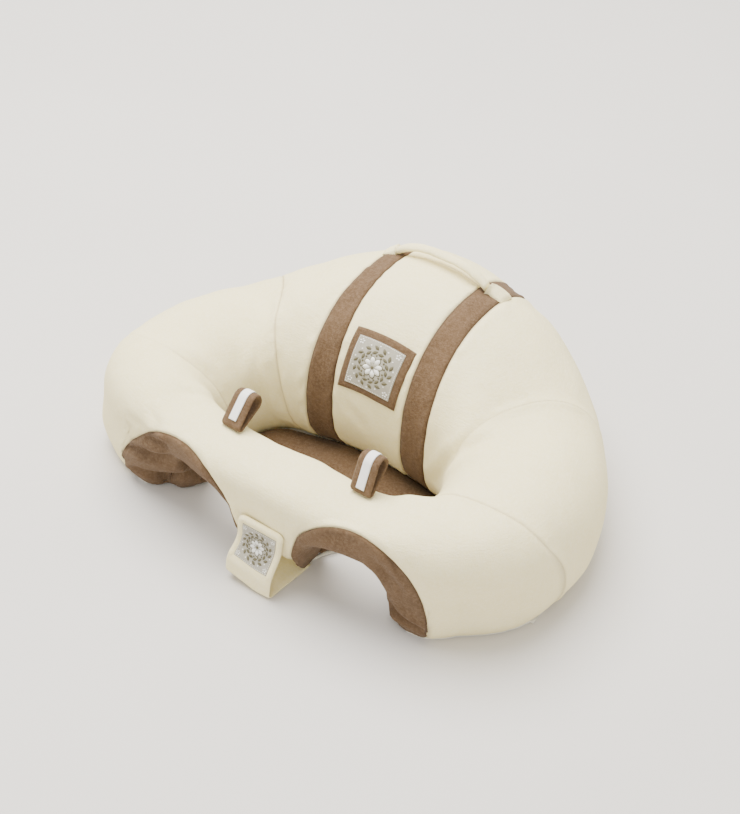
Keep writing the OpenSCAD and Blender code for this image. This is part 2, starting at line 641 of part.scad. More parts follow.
// The front loop: a strap from the post's face down to a fold and back under the post
strap = 1.2 * fleece;
fold_radius = 5;
strap_edge_width = 5;
tab_top = [plain_point(270, angle_at_z(270, tab_height))[1] - layer_gap - strap, tab_height];
fold_middle = [ring_y - front_reach - tab_reach + fold_radius, layer_gap + strap / 2 + fold_radius];
tab_slope = let (d = tab_top - fold_middle) atan2(d[1], d[0]) + acos(fold_radius / norm(d));
tab_foot = fold_middle + fold_radius * [cos(tab_slope), sin(tab_slope)];
tab_run = norm(tab_top - tab_foot);
tab_patch_middle = tab_run - tab_patch_margin - tab_patch_length / 2;
strap_line = concat([[base_front_y - layer_gap, layer_gap + strap / 2]],
    [for (t = spread(270, tab_slope, 6)) fold_middle + fold_radius * [cos(t), sin(t)]], [tab_top]);
function side_of(k) = let (last = len(strap_line) - 1,
    d = unit(strap_line[min(last, k + 1)] - strap_line[max(0, k - 1)])) [-d[1], d[0]];

// Places something on the strap's sloping face, with +Y up the strap and +Z out of it
module on_tab(up, out) {
    translate([0, tab_foot[0], tab_foot[1]]) rotate([tab_slope - 90, 0, 0])
        translate([0, up, strap / 2 + out]) children();
}

module front_loop() {
    edge = strap_edge_width;
    color(cream) {
        rotate([90, 0, 90]) linear_extrude(tab_width, center = true) polygon(concat(
            [for (k = [0 : len(strap_line) - 1]) strap_line[k] + side_of(k) * strap / 2],
            [for (k = [len(strap_line) - 1 : -1 : 0]) strap_line[k] - side_of(k) * strap / 2]));
        on_tab(tab_patch_middle, -0.2) linear_extrude(1.4) difference() {
            square([tab_width - 2, tab_patch_length + 2 * edge], center = true);
            square([tab_patch_width + 2 * layer_gap, tab_patch_length + 2 * layer_gap], center = true);
        }
    }
}

module front_patch() {
    color(print_grey) on_tab(tab_patch_middle, layer_gap) linear_extrude(print_cloth)
        square([tab_patch_width, tab_patch_length], center = true);
}

back_centre_panel();
rear_centre_panel();
left_stripe();
right_stripe();
left_wing_panel();
right_wing_panel();
left_arm_panel();
right_arm_panel();
front_panel();
left_leg_facing();
right_leg_facing();
base_panel();
seat_panel();
seat_wadding();
back_filling();
left_arm_filling();
right_arm_filling();
bar_filling();
carry_handle();
left_handle_end();
right_handle_end();
left_toy_loop();
right_toy_loop();
left_toy_ribbon();
right_toy_ribbon();
back_patch_border();
back_patch();
front_loop();
front_patch();
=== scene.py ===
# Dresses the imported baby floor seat: fleece covers over stuffing, leg linings, seat, carry handle,
# toy loops and patches. The ring is one surface in mm: a turns round the seat (0 right arm, 90 back,
# 180 left arm, 270 crotch post), v round its section (0 outside, 90 top, 180 well, 270 below).
import math

import bpy
import numpy as np
from mathutils import Matrix, Vector, kdtree


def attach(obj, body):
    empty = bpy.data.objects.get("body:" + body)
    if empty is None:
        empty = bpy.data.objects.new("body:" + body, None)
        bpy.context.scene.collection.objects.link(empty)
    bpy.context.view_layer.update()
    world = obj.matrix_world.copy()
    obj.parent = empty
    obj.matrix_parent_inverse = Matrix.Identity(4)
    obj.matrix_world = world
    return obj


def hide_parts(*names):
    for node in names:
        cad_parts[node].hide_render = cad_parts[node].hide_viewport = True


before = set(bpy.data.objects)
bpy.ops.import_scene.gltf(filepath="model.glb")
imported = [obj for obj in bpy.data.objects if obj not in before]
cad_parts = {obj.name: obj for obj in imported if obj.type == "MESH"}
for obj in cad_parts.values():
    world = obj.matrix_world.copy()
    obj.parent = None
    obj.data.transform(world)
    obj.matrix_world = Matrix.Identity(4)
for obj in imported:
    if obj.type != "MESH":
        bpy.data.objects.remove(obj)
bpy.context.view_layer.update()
scene = bpy.context.scene
MM = 0.001

# --- the ring's surface (mm, degrees)
# The ring's half width, its reach to the rear and the front, and its middle
HALF_W, REAR, FRONT, RING_Y = 285.0, 298.0, 120.0, -70.0
# Heights of arm and back, the back's half spread, and the bar's sag
ARM_H, BACK_H, SPREAD, SAG = 150.0, 216.0, 250.0, 13.0
# The well's half width and its reach to the front and the rear
WELL_W, WELL_F, WELL_R = 125.0, 47.0, 62.0
# The sides of a leg opening and its top, and the sides of its lining
OX0, OX1, OTOP = 40.0, 144.0, 84.0
FX0, FX1 = 31.0, 195.0
# Arches with their roundness: the opening, and the lining's seams at the face and in the well
OPENING, FACE, WELL = (OX0, OX1, OTOP, 2.9), (FX0, FX1, 130.0, 2.35), (FX0, FX1, 94.0, 2.35)
# Where the covers touch the floor, and the turn of v at the rim seam
FLOOR_Z, RIM = 3.3, 78.0
# How far the left side has slid outwards at its front foot and at the arm
FOOT_SLUMP, ARM_SLUMP = 34.0, 15.0
# How deep the ring's section reaches into the floor, at the post and elsewhere
POST_BITE, RING_BITE = 0.5, 20.0
# Air between two sewn layers
LAYER = 0.3


def sind(a):
    return np.sin(np.radians(a))


def cosd(a):
    return np.cos(np.radians(a))


def spow(a, p):
    return np.sign(a) * np.abs(a) ** p


def ramp(t):
    k = np.clip(t, 0, 1)
    return k * k * (3 - 2 * k)


def lerp(a, b, t):
    return a + (b - a) * t


def bell(x, wide):
    return np.exp(-(x / wide) ** 2)


def rounded(t, p):
    return np.maximum(0, 1 - np.minimum(1, np.abs(t)) ** p) ** (1 / p)


def soft_min(a, b):
    return a / (1 + (a / b) ** 6) ** (1 / 6)


def unit(v):
    return v / np.maximum(np.linalg.norm(v, axis=-1, keepdims=True), 1e-9)


def in_front(a):
    return sind(a) < -1e-9


def outer_x(a):
    return HALF_W * np.where(in_front(a), spow(cosd(a), 0.8), cosd(a))


def outer_y(a):
    return np.where(in_front(a), RING_Y - FRONT * np.abs(sind(a)) ** 0.8, RING_Y + REAR * sind(a))


def inner_x(a):
    x = outer_x(a)
    return np.sign(x) * WELL_W * soft_min(np.abs(x), WELL_W) / soft_min(HALF_W, WELL_W)


def inner_y(a):
    t = inner_x(a) / WELL_W
    return np.where(in_front(a), RING_Y - WELL_F * rounded(t, 6), RING_Y + WELL_R * rounded(t, 3.2))


def front_angle(x):
    return 270 + np.sign(x) * (90 - np.degrees(np.arccos((np.abs(x) / HALF_W) ** 1.25)))


def rear_angle(x):
    return np.degrees(np.arccos(x / HALF_W))


def arch_level(x, z, x0, x1, top, p):
    across = np.abs(np.abs(x) - (x0 + x1) / 2) / ((x1 - x0) / 2)
    return (across**p + (np.abs(z) / top) ** p) ** (1 / p)


def arch_height(x, x0, x1, top, p):
    return top * rounded((np.abs(x) - (x0 + x1) / 2) / ((x1 - x0) / 2), p)


def opening_height(a):
    return np.where(in_front(a), arch_height(outer_x(a), *OPENING), 0)


def top_z(a):
    x = np.abs(outer_x(a))
    return np.where(in_front(a), ARM_H - SAG * (1 - ramp((x / HALF_W - 0.3) / 0.6)),
                    ARM_H + (BACK_H - ARM_H) * (1 - ramp(x / SPREAD)))


def bar_part(a):
    return np.where(in_front(a), 1 - ramp((np.abs(outer_x(a)) - OX1) / (HALF_W - OX1)), 0)


def bottom_z(a):
    low = opening_height(a)
    at_post = ramp((np.abs(outer_x(a)) - OX0) / (OX1 - OX0))
    bite = np.where(in_front(a), lerp(POST_BITE, RING_BITE, at_post), RING_BITE)
    return low - bite * (1 - ramp(low / 30))


def belly_z(a):
    return lerp(lerp(-RING_BITE, top_z(a), 0.44), lerp(OTOP, top_z(a), 0.5), bar_part(a))


def power_at(a):
    return 2.25 + 0.5 * bar_part(a)


def roll_at(x, z):
    """How far the front rolls in towards a leg opening: 0 at the lining's seam, 1 at the opening."""
    inside = 1 - arch_level(x, z, *FACE)
    outside = np.maximum(arch_level(x, z, *OPENING) - 1, 1e-4)
    return np.where(inside > 0, inside / np.maximum(inside + outside, 1e-9), 0)


def wing_seam(v):
    return lerp(37.0, 67.0, np.clip((v + 30) / 240, 0, 1) ** 1.7)


def stripe_edge(v, side):
    """The right stripe's edge, 27 mm wide at the rim and 34 mm in the well."""
    return rear_angle(62.5 + side * lerp(27.0, 34.0, ramp((v - RIM) / 100)) / 2)


def smooth_run(v, places, values):
    """A smooth run through the values at these places round the section."""
    v = np.asarray(v, float)
    return sum(w * np.interp(v + o, places, values) for o, w in ((-9, 0.25), (0, 0.5), (9, 0.25)))


def left_wing(v):
    """The left wing's seam as the seat lies: deeper down, it has slid towards the middle."""
    return smooth_run(v, [-30, 0, 40, 80, 105, 130, 150, 180, 210], [37, 38.5, 41, 46, 52.5, 60, 65, 68.5, 70])


def arm_seam(v):
    """The seam between the right arm and the front panel, which bends forward over the arm."""
    return smooth_run(v, [-60, 0, 20, 45, 65, 77, 95, 125, 180, 240], [5, 4, 1.5, -2, -4, -6, -10, -13, -9, -4])


def left_seam(v):
    """The seam between the left arm and the front panel, bent forward over the arm."""
    return 180 + smooth_run(v, [-60, 20, 55, 80, 100, 115, 132, 150, 168, 240],
                            [0, 0, 5, 10, 12, 12, 8, 2, 0, 0])


def draw_at(a, v):
    """How much the wing and arm seams draw the ring in."""
    wing = np.minimum(np.abs(a - wing_seam(v)), np.abs(180 - a - wing_seam(v)))
    fold = np.minimum(np.minimum(np.abs(a), np.abs(a - 180) + 8), np.abs(a - 360))
    return 1.2 * np.maximum(np.where(in_front(a), 0, bell(wing, 5)), bell(fold, 5))


def slump(p):
    """The left side has slid outwards, most of all the foot of its front lobe."""
    x, y, z = -p[..., 0], p[..., 1], p[..., 2]
    foot = FOOT_SLUMP * (1 - ramp((z - 20) / 95)) * ramp((x - 90) / 60)
    belly = ARM_SLUMP * ramp((x - 160) / 80)
    out = lerp((foot**4 + belly**4) ** 0.25, ARM_SLUMP * ramp((x - 80) / 45), ramp((y + 150) / 60))
    out = np.where(x > 80, out, 0) * (1 - 0.7 * ramp((y + 50) / 130))
    return np.stack([p[..., 0] - out, y + out / 8, z], -1)


def even_point(a, v):
    """A point of the ring's surface before its left side slid outwards."""
    a, v = np.broadcast_arrays(np.asarray(a, float), np.asarray(v, float))
    n = power_at(a)
    shrink = 1 - draw_at(a, v) / 75
    c, q = spow(cosd(v), 2 / n) * shrink, spow(sind(v), 2 / n) * shrink
    low, belly, top = bottom_z(a), belly_z(a), top_z(a)
    z = np.maximum(FLOOR_Z, belly + q * np.where(q > 0, top - belly, belly - low))
    r = 0.5 + 0.5 * c
    ix, iy, ox, oy = inner_x(a), inner_y(a), outer_x(a), outer_y(a)
    # the post's foot is drawn back, the right front corner drawn in and the right wing swollen
    post = np.where(in_front(a), 1 - ramp((np.abs(ox) - 26) / 34), 0)
    r = r * (1 - 0.36 * post * ramp((62 - z) / 58) ** 1.2)
    turn = np.mod(a + 90, 360)
    corner = np.interp(turn, [38, 45, 52, 61, 69, 78, 90, 103], [0, 0.35, 0.8, 1, 1, 0.85, 0.4, 0])
    corner = corner * ramp((150 - z) / 115)
    swell = np.interp(turn, [86, 105, 135, 158, 168], [0, 0.8, 1.2, 1.3, 0])
    length = np.hypot(ox - ix, oy - iy)
    r = r * (1 + (7.0 * swell - 21.0 * corner) / length)
    x, y = lerp(ix, ox, r), lerp(iy, oy, r)
    # the post's foot is narrower than its top
    at_post = np.where(in_front(a), ramp((np.abs(x) - 6) / 20) * (1 - ramp((np.abs(x) - 46) / 20)), 0)
    x = x - np.sign(x) * 12 * ramp((48 - z) / 44) * at_post
    t = np.where(in_front(a) & (r > 0.5), roll_at(x, z), 0)
    y = y + ((iy + oy) / 2 - y) * 0.85 * (1 - np.sqrt(np.maximum(0, 1 - t * t)))
    return np.stack([x, y, z], -1)


def plain_point(a, v):
    """A point of the ring's surface with no seams or folds."""
    return slump(even_point(a, v))


def plain_normal(a, v, da=0.25, dv=0.8):
    return unit(np.cross(plain_point(a + da, v) - plain_point(a - da, v),
                         plain_point(a, v + dv) - plain_point(a, v - dv)))


def angle_at_z(a, z):
    """The turn v at which the ring's outside stands at height z."""
    belly, low = belly_z(a), bottom_z(a)
    q = np.where(z > belly, (z - belly) / (top_z(a) - belly), (z - belly) / (belly - low))
    return np.degrees(np.arcsin(spow(np.clip(q, -1, 1), power_at(a) / 2)))


def outer_edge(a):
    return angle_at_z(a, FLOOR_Z)


def well_edge(a):
    return 180 - angle_at_z(a, FLOOR_Z)


def face_seam(a):
    return angle_at_z(a, np.maximum(FLOOR_Z, arch_height(outer_x(a), *FACE)))


def lining_seam(a):
    return 180 - angle_at_z(a, np.maximum(FLOOR_Z, arch_height(outer_x(a), *WELL)))


# --- how the fleece lies on the ring
def waves(count, lengths, seed):
    """Random smooth unevenness: directions, wavelengths and phases for a sum of sines."""
    r = np.random.default_rng(seed)
    return unit(r.normal(size=(count, 3))) * (2 * math.pi / r.uniform(*lengths, count))[:, None], \
        r.uniform(0, 2 * math.pi, count)


# Unevenness of the stuffing under the fleece: waves and their size
LUMPS = [(waves(9, (85, 150), 3), 0.85), (waves(12, (38, 60), 5), 0.28), (waves(14, (16, 26), 8), 0.1)]


def lump(points):
    total = np.zeros(points.shape[:-1])
    for (k, phase), size in LUMPS:
        total += size * np.sin(points @ k.T + phase).sum(-1) / math.sqrt(len(phase) / 2)
    return total


def seam_points():
    """Every seam of the ring as points about 1 mm apart, and how deep it draws the fleece in (mm)."""
    v = np.linspace(-62, 242, 900)
    runs = [(wing_seam(v), v, 0.35), (180 - left_wing(v), v, 1.0), (arm_seam(v), v, 0.75),
            (left_seam(v), v, 0.15 + 0.5 * ramp((v - 90) / 25) * (1 - ramp((v - 165) / 20)))]
    for side in (-1, 1):
        e = stripe_edge(v, side)
        runs += [(e, v, 1.3), (180 - e, v, 1.3)]
    a = np.linspace(stripe_edge(RIM, -1), 180 - stripe_edge(RIM, -1), 120)
    runs.append((a, np.full_like(a, RIM), 1.0))
    t = np.linspace(0, 1, 700)
    for side in (-1, 1):
        x = side * ((FX0 + FX1) / 2 - (FX1 - FX0) / 2 * np.cos(np.pi * t))
        a = front_angle(x)
        runs += [(a, face_seam(a), 1.2), (a, lining_seam(a), 1.0)]
    points, dives = [], []
    for a, v, dive in runs:
        p = plain_point(a, v)
        keep = (v > outer_edge(a) - 1) & (v < well_edge(a) + 1)
        points.append(p[keep])
        dives.append((dive + 0 * v)[keep])
    return np.concatenate(points), np.concatenate(dives)


SEAMS, SEAM_DIVE = seam_points()
seam_tree = kdtree.KDTree(len(SEAMS))
for i, p in enumerate(SEAMS):
    seam_tree.insert(p, i)
seam_tree.balance()


def seam_distance(points):
    """How far the nearest seam is, and how deep it draws the fleece in."""
    flat = points.reshape(-1, 3)
    found = [seam_tree.find(p) for p in flat]
    d = np.array([f[2] for f in found]).reshape(points.shape[:-1])
    return d, SEAM_DIVE[np.array([f[1] for f in found])].reshape(points.shape[:-1])


# Creases that the stuffing pulls into the fleece: points (mm), depth, half width, side bulge
CREASES = [
    ([(-132, 3, 150), (-115, -16, 115), (-109, -18, 62)], 2.2, 6, 1.0),
    ([(-121, -22, 112), (-112, -20, 80), (-105, -13, 45)], 2.6, 5, 1.2),
    ([(-205, -96, 148), (-190, -90, 144), (-176, -86, 137), (-163, -80, 125), (-150, -72, 95)], 2.2, 7, 0.9),
    ([(-150, -131, 143), (-140, -126, 141), (-130, -111, 130)], 1.6, 5, 0.7),
    ([(-193, -169, 111), (-177, -174, 113), (-163, -177, 115)], 1.6, 5, 0.6),
    ([(-162, -168, 135), (-153, -173, 132), (-144, -177, 129)], 1.5, 5, 0.6),
    ([(-212, -164, 93), (-195, -170, 95), (-177, -174, 99)], 1.6, 5, 0.6),
    ([(101, -19, 67), (120, -24, 109), (139, -18, 136), (150, -7, 144)], 3.4, 7, 1.4),
    ([(147, -123, 144), (174, -123, 148)], 0.8, 6, 0.4),
    ([(-28, -6, 102), (-16, -7, 94), (-5, -8, 84)], 1.2, 6, 0.4),
    ([(72, 148, 193), (84, 152, 188), (98, 154, 180)], 1.3, 4, 0.5),
    ([(66, 132, 197), (80, 128, 190)], 1.0, 4, 0.4),
]

# Where the leg linings swell: points (mm), then as for the creases
LINING_SWELLS = [
    ([(138, -178, 106), (144, -173, 94), (149, -169, 82), (152, -165, 66)], 3.0, 4.5, 1.8),
    ([(142, -150, 48), (145, -152, 25), (150, -158, 10), (160, -161, 5)], -7.0, 12, 0),
    ([(44, -171, 76), (56, -176, 94), (78, -178, 102), (100, -178, 102), (124, -176, 97)], -9.0, 15, 0),
]
# Where the seat is looked at from, and the view's right, up and back directions
EYE = np.array([706.9, -973.44, 1178.82])
EYE_AXES = np.array([(0.80922, 0.58751, 0), (-0.39125, 0.53890, 0.74600), (0.43828, -0.60368, 0.66595)])
# Pleats of the linings as they run across that view, in mm on a plane SIGHT away
SIGHT = 1650
LINING_PLEATS = [
    ([(-246, -34), (-235, -40), (-223, -47), (-207, -57), (-190, -66)], 5.0, 3.2, 2.2),
    ([(-268, -45), (-247, -51), (-231, -55), (-216, -58), (-200, -60)], 8.0, 3.6, 3.8),
    ([(-262, -69), (-252, -73), (-242, -75), (-231, -76), (-218, -75), (-202, -72), (-186, -68)],
     8.0, 3.6, 3.6),
    ([(14, -178), (22, -191), (33, -205)], 3.2, 4.0, 1.6),
    ([(19, -216), (28, -229), (41, -240), (58, -250)], 7.0, 3.0, 3.2),
]


def segment_distance(points, line):
    """Distance to a polyline, and how far along it (0 to 1) the nearest place is."""
    best = np.full(points.shape[:-1], 1e9)
    along = np.zeros(points.shape[:-1])
    line = np.array(line, float)
    for k in range(len(line) - 1):
        a, d = line[k], line[k + 1] - line[k]
        t = np.clip(((points - a) @ d) / (d @ d), 0, 1)
        dist = np.linalg.norm(points - a - t[..., None] * d, axis=-1)
        closer = dist < best
        best = np.where(closer, dist, best)
        along = np.where(closer, (k + t) / (len(line) - 1), along)
    return best, along


def crease(points, lines=CREASES):
    """How far creases lift the cloth at these points (mm, in is negative)."""
    total = np.zeros(points.shape[:-1])
    for line, depth, wide, bulge in lines:
        d, s = segment_distance(points, line)
        fade = np.sin(np.pi * np.clip(0.12 + 0.76 * s, 0, 1)) ** 0.6
        total += fade * (-depth * bell(d, wide) + bulge * bell(d - 2.2 * wide, wide))
    return total


def pucker(points, d):
    """Small gathers where the sewing thread draws the fleece in along a seam."""
    k, phase = waves(10, (11, 20), 21)
    return 0.32 * bell(d - 4, 5) * np.sin(points @ k.T + phase).sum(-1) / math.sqrt(5)


def dress(a, v):
    """The fleece's surface at (a, v): the ring's plain surface with its seams, gathers and folds, and how much
    painted shade each point gets from the nearest seam.
    """
    p = plain_point(a, v)
    n = plain_normal(a, v)
    d, dive = seam_distance(p)
    h = dive * (-bell(d, 1.5) + 0.4 * bell(d - 6, 5) * (1 - bell(d, 2.5)))
    above = p[..., 2] - FLOOR_Z
    h = h + ramp(above / 14) * (lump(p) * ramp(d / 10) + dive * pucker(p, d)) + ramp(above / 5) * crease(p)
    q = p + n * h[..., None]
    q[..., 2] = np.maximum(q[..., 2], FLOOR_Z)
    # the second value weights the painted shade along the seam, larger where the seam draws deeper
    return q, dive / 1.3 * bell(d, 1.7)


def stations(length, step, near_ends=(0.8, 1.8, 3.2, 5.2, 8.0)):
    """Shares of a way of this length, closer together near both ends."""
    ends = [e for e in near_ends if e < length * 0.35]
    start = ends[-1] if ends else 0
    middle = np.linspace(start, length - start, max(2, int((length - 2 * start) / step) + 1))
    near, last = ends[:-1], [length - e for e in reversed(ends[:-1])]
    return np.concatenate([[0], near, middle, last, [length]]) / length


# --- meshes
def make(name, verts, faces, seam=None):
    """A piece from points in mm; seam says how near the sewing thread each point lies, and so how much painted
    shade the fleece gets there.
    """
    mesh = bpy.data.meshes.new(name)
    mesh.from_pydata([tuple(p) for p in np.asarray(verts) * MM], [], faces)
    mesh.update()
    if seam is not None:
        # the seam weights are kept as an attribute for the painted shade along the seams
        mesh.attributes.new("seam", "FLOAT", "POINT").data.foreach_set("value", np.asarray(seam, np.float32))
    mesh.polygons.foreach_set("use_smooth", [True] * len(mesh.polygons))
    obj = bpy.data.objects.new(name, mesh)
    scene.collection.objects.link(obj)
    return obj


def pick(obj):
    """Leaves this piece alone selected and active."""
    bpy.ops.object.select_all(action="DESELECT")
    obj.select_set(True)
    bpy.context.view_layer.objects.active = obj


def closed(obj):
    """Fills what is open on a piece and turns its faces outwards."""
    pick(obj)
    bpy.ops.object.mode_set(mode="EDIT")
    bpy.ops.mesh.select_all(action="SELECT")
    bpy.ops.mesh.fill_holes(sides=0)
    bpy.ops.mesh.normals_make_consistent(inside=False)
    bpy.ops.object.mode_set(mode="OBJECT")
    return obj


def grid_normals(p):
    return unit(np.cross(np.gradient(p, axis=0), np.gradient(p, axis=1)))


def shell(name, outside, seam, inside=None, thick=1.6):
    """A closed sheet: the outer grid and an inner one, joined round the edge."""
    nu, nv = outside.shape[:2]
    inner = inside
    if inside is None:
        inner = outside - grid_normals(outside) * thick
        if outside[..., 2].min() < 40:
            inner[..., 2] = np.maximum(inner[..., 2], FLOOR_Z - 0.2)
    i, j = np.meshgrid(np.arange(nu - 1), np.arange(nv - 1), indexing="ij")
    at = (i * nv + j).ravel()
    quads = np.stack([at, at + nv, at + nv + 1, at + 1], -1)
    back = nu * nv
    faces = quads.tolist() + (quads[:, ::-1] + back).tolist()
    rim = list(range(nv)) + [r * nv + nv - 1 for r in range(1, nu)]
    rim += [(nu - 1) * nv + k for k in range(nv - 2, -1, -1)] + [r * nv for r in range(nu - 2, 0, -1)]
    faces += [[a, b, b + back, a + back] for a, b in zip(rim, rim[1:] + rim[:1])]
    obj = make(name, np.concatenate([outside.reshape(-1, 3), inner.reshape(-1, 3)]), faces,
               np.concatenate([seam.ravel(), seam.ravel()]))
    return obj if inside is None else closed(obj)


def tube(name, rings, poles=None, loop=False):
    """A closed tube through rings of points, with a pole at each end or joined to a loop."""
    rings = np.asarray(rings, float)
    nu, nv = rings.shape[:2]
    faces = [[i * nv + j, i * nv + (j + 1) % nv, (i + 1) % nu * nv + (j + 1) % nv, (i + 1) % nu * nv + j]
             for i in range(nu if loop else nu - 1) for j in range(nv)]
    verts = rings.reshape(-1, 3)
    if not loop:
        poles = (rings[0].mean(0), rings[-1].mean(0)) if poles is None else poles
        verts = np.concatenate([verts, poles])
        a, b, last = nu * nv, nu * nv + 1, (nu - 1) * nv
        faces += [[a, (j + 1) % nv, j] for j in range(nv)]
        faces += [[b, last + j, last + (j + 1) % nv] for j in range(nv)]
    return closed(make(name, verts, faces))


# --- materials
def fit(tree, node, inputs):
    """Gives a node's inputs their values: another node's socket, a colour or a number."""
    for key, value in inputs.items():
        socket = node.inputs[key]
        if hasattr(value, "is_linked"):
            tree.links.new(value, socket)
        else:
            socket.default_value = (*value, 1) if socket.type == "RGBA" else value


def add(tree, kind, inputs=None, **props):
    node = tree.nodes.new(kind)
    for key, value in props.items():
        setattr(node, key, value)
    fit(tree, node, inputs or {})
    return node


def own_place(tree):
    return add(tree, "ShaderNodeTexCoord").outputs["Object"]


def noise(tree, place, scale, detail, rough=0.5):
    return add(tree, "ShaderNodeTexNoise",
               {"Vector": place, "Scale": scale, "Detail": detail, "Roughness": rough}).outputs["Fac"]


def maths(tree, operation, a, b):
    return add(tree, "ShaderNodeMath", {0: a, 1: b}, operation=operation).outputs[0]


def relief(tree, height, strength, distance):
    return add(tree, "ShaderNodeBump",
               {"Height": height, "Strength": strength, "Distance": distance}).outputs["Normal"]


def mix(tree, factor, a, b):
    return add(tree, "ShaderNodeMix", {0: factor, 6: a, 7: b}, data_type="RGBA").outputs[2]


def curve(tree, value, low, high, to_high=1.0):
    """Maps a value between low and high to a share from 0 to to_high."""
    return add(tree, "ShaderNodeMapRange", {0: value, 1: low, 2: high, 3: 0.0, 4: to_high}).outputs[0]


def new_material(name):
    mat = bpy.data.materials.new(name)
    mat.use_nodes = True
    return mat, mat.node_tree, mat.node_tree.nodes["Principled BSDF"]


def pile_group():
    """Short knitted pile: tone patches, small tufts, fine hairs, faint rows of the knit, and the weight of the
    painted shade along the seams.
    """
    tree = bpy.data.node_groups.new("pile", "ShaderNodeTree")
    place = own_place(tree)
    rows = add(tree, "ShaderNodeMapping", {"Vector": place, "Scale": (90, 90, 620)}).outputs["Vector"]
    knit = noise(tree, rows, 1, 2, 0.6)
    # reads back the seam weights, which set the painted shade along the seams
    seam = add(tree, "ShaderNodeAttribute", attribute_name="seam", attribute_type="GEOMETRY")
    looks = {"Tone": noise(tree, place, 26, 3, 0.6), "Tuft": noise(tree, place, 300, 3, 0.7),
             "Fine": noise(tree, place, 800, 3, 0.75), "Seam": seam.outputs["Fac"]}
    height = looks["Fine"]
    for value, weight in ((looks["Tuft"], 0.5), (knit, 0.55)):
        height = maths(tree, "ADD", height, maths(tree, "MULTIPLY", value, weight))
    looks["Normal"] = relief(tree, height, 0.7, 0.0012)
    for name in looks:
        kind = "NodeSocketVector" if name == "Normal" else "NodeSocketFloat"
        tree.interface.new_socket(name, in_out="OUTPUT", socket_type=kind)
    fit(tree, tree.nodes.new("NodeGroupOutput"), looks)
    return tree


PILE = pile_group()


def fleece(name, slot, light, dark, worn, seam_shade, sheen, sheen_tint):
    """Plush fleece: a material, and the name of the slot that it stands for."""
    mat, tree, shader = new_material(name)
    pile = add(tree, "ShaderNodeGroup", node_tree=PILE).outputs
    base = mix(tree, curve(tree, pile["Tone"], 0.32, 0.68), light, dark)
    base = mix(tree, curve(tree, pile["Tuft"], 0.4, 0.66, 0.8), base, worn)
    base = mix(tree, curve(tree, pile["Fine"], 0.4, 0.7, 0.7), base, dark)
    # painted shade: the fleece darkens towards seam_shade along its seams
    base = mix(tree, curve(tree, pile["Seam"], 0.1, 1.0, 0.75), base, seam_shade)
    fit(tree, shader, {"Base Color": base, "Normal": pile["Normal"], "Roughness": 0.95,
                       "Specular IOR Level": 0.2, "Sheen Weight": sheen, "Sheen Roughness": 0.5,
                       "Sheen Tint": sheen_tint})
    return mat, slot


# the fourth colour of each fleece is the painted shade along the seams
CREAM = fleece("cream_fleece_pile", "cream_fleece", (0.91, 0.81, 0.46), (0.86, 0.76, 0.415),
               (0.925, 0.835, 0.57), (0.52, 0.42, 0.24), 0.06, (1.0, 0.95, 0.8))
BROWN = fleece("brown_fleece_pile", "brown_fleece", (0.128, 0.077, 0.04), (0.090, 0.052, 0.025),
               (0.175, 0.112, 0.066), (0.055, 0.03, 0.014), 0.09, (1.0, 0.86, 0.7))


def woven(name, slot, ground, thread, scale, depth):
    """Plain woven cloth: two crossing sets of threads."""
    mat, tree, shader = new_material(name)
    place = own_place(tree)
    rows, columns = (add(tree, "ShaderNodeTexWave",
                         {"Vector": place, "Scale": scale, "Distortion": 1.2, "Detail": 1, "Detail Scale": 2},
                         bands_direction=axis).outputs["Fac"] for axis in "XZ")
    threads = maths(tree, "MAXIMUM", rows, columns)
    base = mix(tree, curve(tree, threads, 0.2, 0.9), thread, ground)
    base = mix(tree, curve(tree, noise(tree, place, 140, 4), 0.35, 0.7, 0.35), base, thread)
    fit(tree, shader, {"Base Color": base, "Normal": relief(tree, threads, 0.4, depth), "Roughness": 0.85,
                       "Specular IOR Level": 0.3, "Sheen Weight": 0.15})
    return mat, slot


RIBBON = woven("ribbon_weave", "ribbon", (0.86, 0.84, 0.79), (0.72, 0.70, 0.65), 420, 0.0002)
PRINT = woven("printed_cotton_ground", "printed_cotton", (0.41, 0.385, 0.315), (0.27, 0.25, 0.2), 330, 0.0003)
QUILT = woven("quilted_base_cloth", "quilted_base", (0.80, 0.77, 0.66), (0.70, 0.67, 0.57), 260, 0.0003)


def plain_cloth(name, slot, light, dark, scale):
    """Fibre, thread or ink: one colour, slightly mottled."""
    mat, tree, shader = new_material(name)
    mottle = noise(tree, own_place(tree), scale, 4, 0.7)
    fit(tree, shader, {"Base Color": mix(tree, curve(tree, mottle, 0.3, 0.7), light, dark),
                       "Normal": relief(tree, mottle, 0.35, 0.0004), "Roughness": 0.88})
    return mat, slot


WADDING = plain_cloth("polyester_fibre", "polyester_filling", (0.92, 0.92, 0.90), (0.80, 0.80, 0.78), 420)
THREAD = plain_cloth("pale_thread", "printed_cotton", (0.78, 0.75, 0.66), (0.62, 0.59, 0.50), 900)
BROWN_THREAD = plain_cloth("brown_thread", "brown_fleece", (0.30, 0.18, 0.10), (0.22, 0.13, 0.07), 900)
INK = plain_cloth("olive_ink", "printed_cotton", (0.10, 0.088, 0.045), (0.15, 0.132, 0.078), 500)
WHITE_INK = plain_cloth("white_ink", "printed_cotton", (0.80, 0.79, 0.74), (0.70, 0.69, 0.63), 500)


def dress_piece(obj, cloth, *nodes, body="seat", fill=None):
    """Gives a piece its cloth and its body, and hides the CAD nodes that it stands for."""
    material, slot = cloth
    obj.data.materials.clear()
    obj.data.materials.append(material)
    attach(obj, body)
    if nodes:
        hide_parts(*nodes)


